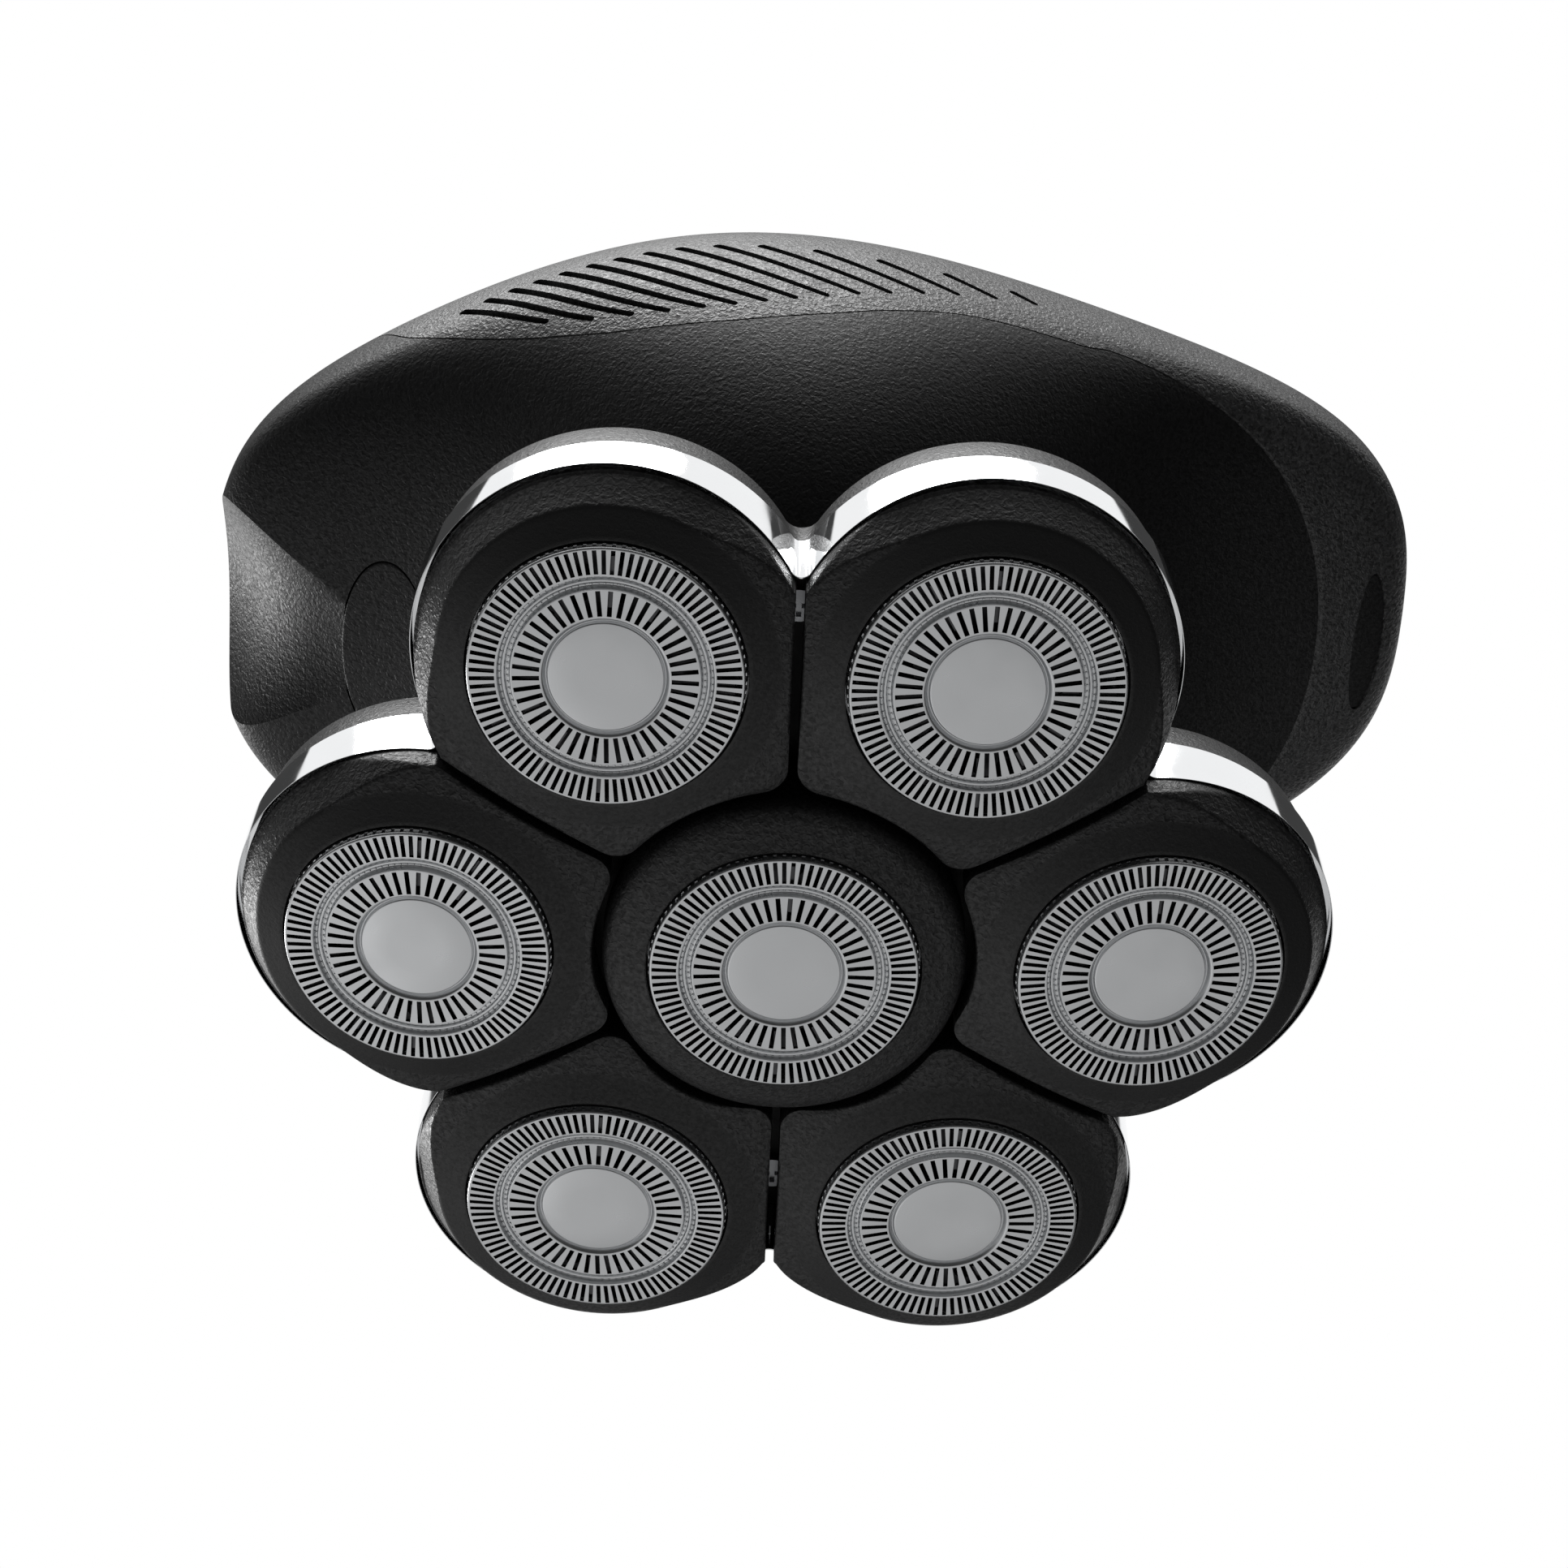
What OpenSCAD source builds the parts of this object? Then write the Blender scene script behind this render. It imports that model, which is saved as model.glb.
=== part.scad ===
// Rotary electric shaver with six tilting outer cutters, one floating centre cutter
// and a palm-held handle that lifts off the head.
// Units are millimetres. The origin is on the drive axis, in the plane of the centre
// guard's rim; +Z runs into the handle, +X along the handle towards the charging end.

/* [Part] */
// Sub-part to draw, or "all"

/* [Guards] */
// Outer radius of a slotted guard
guard_r = 10; // [8:0.1:12]
// Thickness of the slotted shaving tracks
foil_t = 0.3; // [0.2:0.05:0.5]
// Number of slots in the outer track
outer_slots = 90; // [45:1:100]
// Number of slots in the inner track
inner_slots = 45; // [24:1:60]
// Width of an outer slot
outer_slot_w = 0.26; // [0.18:0.02:0.36]
// Width of an inner slot
inner_slot_w = 0.3; // [0.2:0.02:0.4]
// Radius of the plain cap in the middle of the guard
cap_r = 4.14; // [3:0.02:5]
// Depth of the cap's face below the tracks
cap_sink = 0.17; // [0.05:0.01:0.4]
// Depth of the groove between the two tracks
groove_depth = 0.5; // [0.3:0.05:0.8]
// Depth from the tracks to the front of the guard's flange
flange_s = 3; // [2.6:0.05:3.4]
// Thickness of the guard's flange
flange_t = 0.5; // [0.3:0.05:0.8]
// How far the flange stands out past the guard's wall
flange_w = 0.9; // [0.5:0.05:1.2]
// Wall thickness of the guard's rim
guard_wall = 0.4; // [0.3:0.05:0.6]
// Radius of the pin that centres the blade
blade_pin_r = 1.2; // [0.8:0.05:1.6]

/* [Blades] */
// Tips on each ring of a blade
blade_tips = 12; // [6:1:18]
// Running clearance between the tips and the tracks
tip_clearance = 0.05; // [0.02:0.01:0.1]
// Radial clearance of the blade on the guard's pin
pin_fit = 0.05; // [0.02:0.01:0.1]
// Rake of the tips from the cutter's axis, degrees
tip_rake = 25; // [0:1:35]
// Thickness of a tip
tip_t = 0.5; // [0.3:0.05:0.8]
// Radius of the blade's plastic hub
hub_r = 3.4; // [2.8:0.1:4]
// Half the width across flats of the hub's hexagonal socket
socket_flat = 2; // [1.6:0.05:2.4]

/* [Pods] */
// Distance from the drive axis to an outer cutter's axis, at the guard's rim
pitch = 27.17; // [25:0.01:30]
// Outward lean of the outer cutters' axes, degrees
tilt = 6.137; // [0:0.001:10]
// How far the outer guards sit behind the centre guard
drop = 1.63; // [0:0.01:3]
// Radius of a petal's outer edge about its cutter
petal_r = 14.6; // [13:0.05:16]
// Gap between neighbouring petals
petal_gap = 0.6; // [0.4:0.05:1]
// Radius of the petals' inner arc about the drive axis
petal_inner_r = 14.1; // [13.6:0.05:15]
// Radial clearance between a guard and its petal
guard_gap = 0.15; // [0.1:0.01:0.3]
// Radial clearance of the flange in the petal's counterbore
flange_gap = 0.2; // [0.1:0.01:0.4]
// Depth of a petal's back face
petal_back = 5.2; // [5.1:0.05:6]
// Radius of a hinge pin
hinge_r = 0.8; // [0.5:0.05:1]
// Radial clearance of the hinge pins in the petals' lugs
hinge_fit = 0.05; // [0.02:0.01:0.1]
// Depth of the hinge axis behind the guard's rim
hinge_s = 7.2; // [6.6:0.05:7.6]
// Radius of the centre cutter's ring
centre_r = 13.5; // [12.5:0.05:13.7]

/* [Head] */
// How far the chrome trim stands out past the petals
trim_proud = 0.15; // [0.05:0.05:0.6]
// Wall of the chrome trim
chrome_wall = 1.2; // [0.8:0.05:2]
// Depth of the trim's front edge behind the guard's rim, along the cutter's axis
chrome_s = 6.2; // [6.1:0.05:7]
// Radius of the notches between the lobes
notch_r = 0.8; // [0.4:0.05:1.5]
// Height where the trim ends and the head base begins
base_z = 11.4; // [11:0.05:12.5]
// How far the head base lies inside the chrome trim's outline
base_inset = 0.25; // [0.1:0.05:0.6]
// Room between the cutter gears' tips and the head base's wall
gear_room = 1.08; // [0.5:0.02:1.6]
// Height where the base's chamfer starts
chamfer_z = 14.4; // [14.2:0.05:15]
// Height of the base's back face
base_top = 15.2; // [15:0.05:16]
// Height of the base's inner floor
floor_z = 13.9; // [13.7:0.05:14.2]
// Radius of the neck that the handle slides on
neck_r = 12; // [10:0.1:13]
// Height of the end of the neck
neck_top = 19.5; // [18:0.1:21]
// Thickness of the gear plate
plate_t = 0.7; // [0.5:0.05:1]

/* [Gears] */
// Teeth on the drive gear
drive_teeth = 36; // [30:6:48]
// Teeth on each cutter gear
cutter_teeth = 24; // [18:6:30]
// Play between meshing teeth, along the pitch circle
backlash = 0.15; // [0.05:0.01:0.3]
// Height of the gears' lower face
gear_z = 11.7; // [11.5:0.05:12]
// Face width of the gears
gear_w = 1.9; // [1.5:0.05:2]
// Radius of the spindles
spindle_r = 1.5; // [1.2:0.05:1.8]
// Radial clearance of the running shafts in their bores
shaft_fit = 0.05; // [0.02:0.01:0.1]
// Corner radius of a spindle's hexagonal tip
tip_hex_r = 1.3; // [1:0.05:1.6]
// Corner radius of the motor shaft's hexagonal tip
motor_hex_r = 1.9; // [1.5:0.05:2.1]
// Radius of the drive gear's hub
drive_hub_r = 4; // [3.5:0.05:5]
// Radius of the spring wire
wire_r = 0.25; // [0.2:0.01:0.3]

/* [Handle] */
// Half the length of the handle
half_len = 51.1; // [45:0.1:58]
// Middle of the handle along X
mid_x = 2.2; // [-2:0.1:6]
// Half width of the handle before its swell is added
side_w = 23.2; // [20:0.1:28]
// Extra half width at the swell
swell = 10.8; // [6:0.1:14]
// Where the swell is, along X
swell_x = -5.2; // [-12:0.1:2]
// Length scale of the swell
swell_len = 33.8; // [25:0.1:45]
// Height of the widest line at the middle
waist_z = 53.3; // [50:0.1:58]
// Palm dome height as a share of the half width
dome_ratio = 0.83; // [0.7:0.01:1]
// Depth of the underside below the widest line, at the ends
under_end = 6.1; // [4:0.1:12]
// Extra depth of the underside towards the neck
under_mid = 28; // [24:0.1:32]
// Length scale of the underside's funnel
under_len = 22; // [16:0.1:30]
// Wall of the handle's shells
shell_wall = 2.2; // [1.6:0.1:3]
// Wall behind the thumb hollow
hollow_wall = 1.5; // [1.2:0.1:2.4]
// Outer radius of the neck skirt
skirt_r = 16.5; // [16:0.1:18]
// Height of the skirt's lower edge
skirt_z = 19; // [18:0.1:20]
// Radial clearance between the neck and the latch collar
collar_fit = 0.15; // [0.1:0.01:0.3]
// Outer radius of the latch collar
collar_r = 15; // [14:0.1:15.5]
// Height of the collar's lower face
collar_z = 15.7; // [15.5:0.05:17]
// Number of grip grooves on each flank
grip_grooves = 15; // [8:1:18]
// Width of a grip groove
groove_w = 0.7; // [0.4:0.05:1.2]
// Depth of a grip groove
groove_cut = 0.6; // [0.3:0.05:1]
// Half width of the power button
button_w = 4.4; // [3.5:0.1:5.5]
// Half length of the power button
button_l = 8.9; // [7:0.1:11]
// Gap around the power button
button_gap = 0.3; // [0.2:0.05:0.5]
// Half length of the charging plug
plug_l = 6.6; // [5.5:0.1:8]
// Half height of the charging plug
plug_h = 1.4; // [1.2:0.1:2.2]
// Gap around the charging plug
plug_gap = 0.15; // [0.1:0.05:0.4]

/* [Inside the handle] */
// Radius of the motor
motor_r = 10; // [8:0.1:11]
// Length of the motor
motor_l = 24; // [18:0.5:26]
// Radius of the battery cell
cell_r = 7.05; // [6:0.05:8]
// Length of the battery cell
cell_l = 50; // [40:1:56]
// Thickness of the circuit board
board_t = 1.6; // [1:0.1:2]
// Length of the circuit board
board_l = 65; // [50:1:70]
// Width of the circuit board
board_w = 22; // [16:1:30]
// Height of the circuit board's lower face
board_z = 57; // [54:0.5:59]

/* [Hidden] */
$fn = 96;
eps = 0.05;
step = 60;
chrome_r = petal_r + trim_proud;
base_r = chrome_r - base_inset;
hinge_x = pitch - hinge_s * sin(tilt);
hinge_z = drop + hinge_s * cos(tilt);
spindle_s = 4.6;
spindle_x = pitch - spindle_s * sin(tilt);
lobe_x = pitch - 6.8 * sin(tilt);
petal_x = pitch - 4.8 * sin(tilt);
groove_in = guard_r - 3.18;
groove_out = guard_r - 2.25;
track_in = cap_r + 0.76;
track_out = guard_r - 0.55;
socket_s = 3.4;
hub_end = 5.9;
disc_s = 2.2;
disc_t = 0.6;
lug_out = petal_r - 1.7;
lug_in = lug_out - 1.2;
tower_out = lug_in - 0.3;
tower_in = tower_out - 1.1;
lug_r = 1.5;
plate_z = base_z - plate_t;
screw_x = notch_at(chrome_r - chrome_wall, lobe_x, notch_r + chrome_wall)
    - notch_r - chrome_wall - 3.6;
gear_m = 2 * spindle_x / (drive_teeth + cutter_teeth);
pocket_r = gear_m * (cutter_teeth / 2 + 0.95) + gear_room;
bracket_z = 21;
bracket_t = 2;
motor_z = bracket_z + bracket_t;
button_x = mid_x - half_len + 15.6;
button_z = waist_z - 7.9;
button_tilt = 17;
port_at = [mid_x + half_len - 3.3, 1, waist_z + 3.1];
port_turn = 125;

grey = [0.62, 0.63, 0.64];
black = [0.1, 0.1, 0.1];

// ---- placing ----------------------------------------------------------------

// Cutter k: 0 is the centre one, 1 to 6 stand around it, each on its own leaning axis
module at_cutter(k) {
    if (k == 0)
        children();
    else
        rotate([0, 0, step * (k - 1)])
            translate([pitch, 0, drop])
                rotate([0, -tilt, 0])
                    children();
}

module around(x, turn = 0) {
    for (k = [0:5])
        rotate([0, 0, step * k + turn])
            translate([x, 0, 0])
                children();
}

// ---- guards -----------------------------------------------------------------

module slotted_track(r1, r2, slot1, slot2, n, w) {
    linear_extrude(foil_t)
        difference() {
            circle(r2);
            circle(r1);
            for (i = [0:n - 1])
                rotate(360 / n * i)
                    translate([slot1, -w / 2])
                        square([slot2 - slot1, w]);
        }
}

// Cap, sunk centre and the pin on its back
module guard_cap() {
    rotate_extrude()
        polygon([
            [0, cap_sink],
            [cap_r, cap_sink],
            [cap_r + 0.24, cap_sink + 0.11],
            [cap_r + 0.36, groove_depth + 0.1],
            [track_in - 0.05, groove_depth + 0.1],
            [track_in, 0],
            [track_in + 0.1, 0],
            [track_in + 0.1, groove_depth + 0.45],
            [cap_r - 0.04, groove_depth + 0.45],
            [cap_r - 0.24, cap_sink + 0.43],
            [blade_pin_r, cap_sink + 0.43],
            [blade_pin_r, disc_s + 0.7],
            [blade_pin_r - 0.1, disc_s + 0.8],
            [0, disc_s + 0.8]
        ]);
}

// Groove with its thin ridge, between the two tracks
module guard_groove() {
    rotate_extrude()
        polygon([
            [groove_in - 0.07, 0],
            [groove_in, 0],
            [groove_in + 0.05, groove_depth],
            [groove_in + 0.38, groove_depth],
            [groove_in + 0.43, groove_depth - 0.22],
            [groove_out - 0.4, groove_depth - 0.22],
            [groove_out - 0.35, groove_depth],
            [groove_out - 0.05, groove_depth],
            [groove_out, 0],
            [groove_out + 0.07, 0],
            [groove_out + 0.07, groove_depth + 0.35],
            [groove_in - 0.07, groove_depth + 0.35]
        ]);
}

module guard_rim() {
    wall_r = guard_r - guard_wall;
    rotate_extrude()
        polygon([
            [track_out, 0],
            [track_out + 0.17, 0.04],
            [guard_r - 0.15, 0.25],
            [guard_r, 0.6],
            [guard_r, flange_s],
            [guard_r + flange_w, flange_s],
            [guard_r + flange_w, flange_s + flange_t],
            [wall_r, flange_s + flange_t],
            [wall_r, foil_t],
            [track_out, foil_t]
        ]);
}

module guard(k) {
    color(grey)
        at_cutter(k)
            union() {
                guard_cap();
                slotted_track(track_in + eps, groove_in - 0.02, track_in + 0.15,
                    groove_in - 0.12, inner_slots, inner_slot_w);
                guard_groove();
                slotted_track(groove_out + 0.02, track_out + eps, groove_out + 0.15,
                    track_out - 0.05, outer_slots, outer_slot_w);
                guard_rim();
            }
}

// ---- blades -----------------------------------------------------------------

// One raked tip, from the disc up to the track
module blade_tip(r1, r2) {
    top = foil_t + tip_clearance;
    root = disc_s + 0.1;
    lean = (root - top) * tan(tip_rake);
    translate([r1, 0, 0])
        rotate([90, 0, 90])
            linear_extrude(r2 - r1)
                polygon([[0, top], [tip_t, top], [tip_t + lean, root], [lean, root]]);
}

module blade_disc() {
    translate([0, 0, disc_s])
        linear_extrude(disc_t)
            difference() {
                circle(track_out - 0.15);
                circle(hub_r - 0.2);
                for (i = [0:blade_tips - 1])
                    rotate(360 / blade_tips * (i + 0.5))
                        translate([7.2, 0])
                            circle(0.8, $fn = 24);
            }
}

module blade_hub() {
    difference() {
        translate([0, 0, disc_s])
            cylinder(r = hub_r, h = hub_end - disc_s);
        translate([0, 0, disc_s - eps])
            cylinder(r = blade_pin_r + pin_fit, h = 1 + eps);
        translate([0, 0, socket_s])
            cylinder(r = socket_flat / cos(30), h = hub_end, $fn = 6);
    }
}

module blade(k) {
    color([0.7, 0.71, 0.72])
        at_cutter(k)
            union() {
                blade_hub();
                blade_disc();
                for (i = [0:blade_tips - 1])
                    rotate([0, 0, 360 / blade_tips * i]) {
                        blade_tip(groove_out + 0.3, track_out - 0.25);
                        blade_tip(track_in + 0.4, groove_in - 0.32);
                    }
            }
}

// ---- retainers --------------------------------------------------------------

module retainer(k) {
    seat = flange_s + flange_t;
    outer = guard_r + flange_w + flange_gap - 0.05;
    color([0.25, 0.25, 0.26])
        at_cutter(k)
            translate([0, 0, seat])
                linear_extrude(petal_back - seat - 0.1)
                    union() {
                        difference() {
                            circle(outer);
                            circle(8.2);
                        }
                        difference() {
                            circle(5);
                            circle(4.2);
                        }
                        for (a = [0:120:240])
                            rotate(a)
                                translate([4.6, -1])
                                    square([4, 2]);
                    }
}

// ---- flower outlines --------------------------------------------------------

// Distance of a notch circle's centre from the drive axis
function notch_at(r, x, rho) =
    x * cos(30) + sqrt(pow(r + rho, 2) - pow(x * sin(30), 2));

// Six lobes of radius r at distance x, joined by notches of radius rho
module flower(r, x, rho) {
    f = notch_at(r, x, rho);
    cx = x * cos(30);
    cy = x * sin(30);
    tx = cx + (f - cx) * r / (r + rho);
    ty = cy - cy * r / (r + rho);
    difference() {
        union() {
            for (k = [0:5])
                rotate(step * k)
                    translate([x, 0])
                        circle(r);
            for (k = [0:5])
                rotate(step * k + 30)
                    polygon([[-0.1, 0], [cx, -cy], [tx, -ty], [f, 0], [tx, ty], [cx, cy]]);
        }
        for (k = [0:5])
            rotate(step * k + 30)
                translate([f, 0])
                    circle(rho);
    }
}

// The sixth of the face that belongs to one petal
module petal_sector() {
    half = petal_gap / 2;
    inner = petal_inner_r;
    round_r = 2;
    reach = inner + round_r;
    a = 30 - asin((round_r + half) / reach);
    c = [reach * cos(a), reach * sin(a)];
    t1 = [inner * cos(a), inner * sin(a)];
    t2 = [c[0] - round_r * sin(30), c[1] + round_r * cos(30)];
    b = 30 - asin(half / inner);
    corner = [(inner - 1) * cos(b), (inner - 1) * sin(b) + 1];
    difference() {
        polygon([
            [half / sin(30), 0],
            [60 * cos(30) + half / sin(30), 60 * sin(30)],
            [60 * cos(30) + half / sin(30), -60 * sin(30)]
        ]);
        circle(inner);
        for (m = [0, 1])
            mirror([0, m, 0])
                difference() {
                    polygon([c, t1, corner, t2]);
                    translate(c)
                        circle(round_r);
                }
    }
}

// ---- pods -------------------------------------------------------------------

// A hinge lug in the cutter's own frame, with its bore along Y
module lug() {
    difference() {
        union() {
            translate([0, lug_in, hinge_s])
                rotate([-90, 0, 0])
                    cylinder(r = lug_r, h = lug_out - lug_in, $fn = 48);
            translate([-lug_r, lug_in, petal_back - 0.2])
                cube([2 * lug_r, lug_out - lug_in, hinge_s - petal_back + 0.2]);
        }
        translate([0, lug_in - 1, hinge_s])
            rotate([-90, 0, 0])
                cylinder(r = hinge_r + hinge_fit, h = lug_out - lug_in + 2, $fn = 48);
    }
}

module petal_face() {
    bore = guard_r + guard_gap;
    seat_r = guard_r + flange_w + flange_gap;
    rotate_extrude()
        polygon([
            [bore, 0.85],
            [petal_r - 2.15, 1.6],
            [petal_r - 1, 2.9],
            [petal_r, 4],
            [petal_r + 2.6, 4.3],
            [petal_r + 2.6, petal_back],
            [seat_r, petal_back],
            [seat_r, flange_s],
            [bore, flange_s]
        ]);
}

module pod(k) {
    color(black)
        union() {
            intersection() {
                at_cutter(k)
                    petal_face();
                rotate([0, 0, step * (k - 1)])
                    linear_extrude(20)
                        intersection() {
                            flower(petal_r, petal_x, notch_r);
                            petal_sector();
                        }
            }
            at_cutter(k)
                for (m = [0, 1])
                    mirror([0, m, 0])
                        lug();
        }
}

module centre_ring() {
    bore = guard_r + guard_gap;
    seat_r = guard_r + flange_w + flange_gap;
    color(black)
        rotate_extrude()
            polygon([
                [bore, 0.7],
                [12.4, 1.2],
                [centre_r - 0.3, 1.8],
                [centre_r, 2.7],
                [centre_r, petal_back],
                [seat_r, petal_back],
                [seat_r, flange_s],
                [bore, flange_s]
            ]);
}

// ---- gears ------------------------------------------------------------------

// Involute flank: the point at radius r, as an angle from the tooth's middle line
function inv(a) = tan(a) * 180 / PI - a;
function flank_turn(r, rb) = inv(acos(min(1, rb / r)));
function half_tooth(z) = 90 / z - backlash / 4 / (gear_m * z / 2) * 180 / PI;

// One tooth and its gap as a list of points, root to root
function tooth(z, i) =
    let (rp = gear_m * z / 2)
    let (rb = rp * cos(20))
    let (ra = rp + gear_m * 0.95)
    let (rf = rp - gear_m * 1.15)
    let (radii = [max(rf, rb), rp, ra])
    let (base = half_tooth(z) + flank_turn(rp, rb))
    let (mid = 360 / z * i)
    let (half = [for (r = radii) base - flank_turn(r, rb)])
    concat(
        [[rf, mid - half[0]]],
        [for (j = [0:2]) [radii[j], mid - half[j]]],
        [for (j = [2:-1:0]) [radii[j], mid + half[j]]],
        [[rf, mid + half[0]]]
    );

module gear_outline(z, phase) {
    pts = [for (i = [0:z - 1]) for (p = tooth(z, i)) p];
    rotate(phase)
        polygon([for (p = pts) p[0] * [cos(p[1]), sin(p[1])]]);
}

module cutter_gear(k) {
    color([0.85, 0.85, 0.82])
        rotate([0, 0, step * (k - 1)])
            translate([spindle_x, 0, gear_z])
                linear_extrude(gear_w)
                    difference() {
                        gear_outline(cutter_teeth, 180 + 180 / cutter_teeth);
                        circle(spindle_r);
                        for (a = [0:60:300])
                            rotate(a)
                                translate([5.6, 0])
                                    circle(1.7, $fn = 32);
                    }
}

module drive_gear() {
    color([0.85, 0.85, 0.82])
        union() {
            translate([0, 0, gear_z])
                linear_extrude(gear_w)
                    difference() {
                        gear_outline(drive_teeth, 0);
                        circle(spindle_r);
                        for (a = [30:60:330])
                            rotate(a)
                                translate([9.4, 0])
                                    circle(2.6, $fn = 32);
                    }
            difference() {
                translate([0, 0, gear_z + gear_w - 0.2])
                    cylinder(r = drive_hub_r, h = neck_top - 1.2 - gear_z - gear_w);
                translate([0, 0, gear_z])
                    cylinder(r = spindle_r, h = gear_w);
                translate([0, 0, 14.4])
                    cylinder(r = 2.1 / cos(30), h = 10, $fn = 6);
            }
        }
}

// ---- spindles and springs ---------------------------------------------------

module spindle_body(tip_z, tip_l, end_z) {
    neck_z = tip_z + tip_l;
    union() {
        translate([0, 0, tip_z])
            cylinder(r = tip_hex_r, h = tip_l + 0.1, $fn = 6);
        translate([0, 0, neck_z])
            cylinder(r = 1, h = 8.3 - neck_z, $fn = 48);
        translate([0, 0, 8.2])
            cylinder(r = spindle_r, h = end_z - 8.2, $fn = 48);
        translate([0, 0, 8.2])
            cylinder(r = spindle_r + 0.7, h = 0.3, $fn = 48);
    }
}

module spindle(k) {
    color([0.6, 0.61, 0.63])
        rotate([0, 0, step * (k - 1)])
            translate([spindle_x, 0, 0])
                spindle_body(5.6, 1.9, floor_z + 0.9);
}

module drive_spindle() {
    color([0.6, 0.61, 0.63])
        spindle_body(4.7, 1.9, gear_z + gear_w);
}

// Coil of round wire as one closed tube
module coil(r, z0, pitch_z, turns) {
    seg = 10;
    side = 4;
    n = round(turns * seg);
    pts = [
        for (i = [0:n])
            for (j = [0:side - 1])
                let (a = 360 / seg * i, b = 360 / side * (j + 0.5), q = r + wire_r * cos(b))
                    [q * cos(a), q * sin(a), z0 + pitch_z * i / seg + wire_r * sin(b)]
    ];
    walls = [
        for (i = [0:n - 1])
            for (j = [0:side - 1])
                let (a = i * side + j, b = i * side + (j + 1) % side)
                    each [[a, a + side, b + side], [a, b + side, b]]
    ];
    ends = [[for (j = [0:side - 1]) j], [for (j = [side - 1:-1:0]) n * side + j]];
    polyhedron(pts, concat(walls, ends), convexity = 6);
}

module spindle_springs() {
    mean_r = spindle_r + 0.3 + wire_r;
    z0 = 8.55 + wire_r;
    turns = 2.5;
    rise = (plate_z - wire_r - z0) / turns;
    color([0.75, 0.75, 0.76]) {
        coil(mean_r, z0, rise, turns);
        around(spindle_x)
            coil(mean_r, z0, rise, turns);
    }
}

// ---- head -------------------------------------------------------------------

module lobe_ring(r, wall) {
    difference() {
        flower(r, lobe_x, notch_r);
        flower(r - wall, lobe_x, notch_r + wall);
    }
}

module chrome_trim() {
    color([0.9, 0.9, 0.92])
        difference() {
            linear_extrude(base_z)
                lobe_ring(chrome_r, chrome_wall);
            for (k = [1:6])
                intersection() {
                    at_cutter(k)
                        translate([-30, -30, chrome_s - 30])
                            cube([60, 60, 30]);
                    rotate([0, 0, step * (k - 1)])
                        linear_extrude(30)
                            polygon([[0, 0], [60, 60 * tan(30)], [60, -60 * tan(30)]]);
                }
        }
}

module tower() {
    difference() {
        union() {
            translate([hinge_x, tower_in, hinge_z])
                rotate([-90, 0, 0])
                    cylinder(r = lug_r, h = tower_out - tower_in, $fn = 48);
            translate([hinge_x - lug_r, tower_in, hinge_z])
                cube([2 * lug_r, tower_out - tower_in, plate_z + 0.1 - hinge_z]);
        }
        translate([hinge_x, tower_in - 1, hinge_z])
            rotate([-90, 0, 0])
                cylinder(r = hinge_r, h = tower_out - tower_in + 2, $fn = 48);
    }
}

module gear_plate() {
    inner = chrome_r - chrome_wall;
    color([0.2, 0.2, 0.21])
        union() {
            translate([0, 0, plate_z])
                linear_extrude(plate_t)
                    difference() {
                        flower(inner - 0.05, lobe_x, notch_r + chrome_wall + 0.05);
                        circle(spindle_r + shaft_fit, $fn = 48);
                        for (k = [0:5])
                            rotate(step * k)
                                translate([spindle_x, 0])
                                    circle(spindle_r + shaft_fit, $fn = 48);
                        for (k = [0:5])
                            rotate(step * k + 30)
                                translate([screw_x, 0])
                                    circle(0.75, $fn = 32);
                    }
            for (k = [0:5])
                rotate([0, 0, step * k])
                    for (m = [0, 1])
                        mirror([0, m, 0])
                            tower();
        }
}

module hinge_pins() {
    color([0.6, 0.61, 0.63])
        for (k = [0:5])
            rotate([0, 0, step * k])
                for (m = [0, 1])
                    mirror([0, m, 0])
                        translate([hinge_x, tower_in, hinge_z])
                            rotate([-90, 0, 0])
                                cylinder(r = hinge_r, h = lug_out + 0.1 - tower_in, $fn = 48);
}

module head_screws() {
    color([0.6, 0.61, 0.63])
        around(screw_x, 30)
            union() {
                translate([0, 0, plate_z - 0.8])
                    difference() {
                        cylinder(r = 1.3, h = 0.8, $fn = 32);
                        translate([-0.9, -0.2, -0.1])
                            cube([1.8, 0.4, 0.5]);
                        translate([-0.2, -0.9, -0.1])
                            cube([0.4, 1.8, 0.5]);
                    }
                translate([0, 0, plate_z - 0.1])
                    cylinder(r = 0.7, h = 2.6, $fn = 32);
            }
}

// Distance from the drive axis to the flower's outline in direction a
function flower_reach(a, r, x, rho) =
    let (f = notch_at(r, x, rho))
    let (cx = x * cos(30))
    let (cy = x * sin(30))
    let (turn = atan2(cy - cy * r / (r + rho), cx + (f - cx) * r / (r + rho)))
    let (b = abs(a - step * round(a / step)))
    let (d = 30 - b)
    d < turn
        ? f * cos(d) - sqrt(max(0, pow(rho, 2) - pow(f * sin(d), 2)))
        : x * cos(b) + sqrt(pow(r, 2) - pow(x * sin(b), 2));

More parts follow.
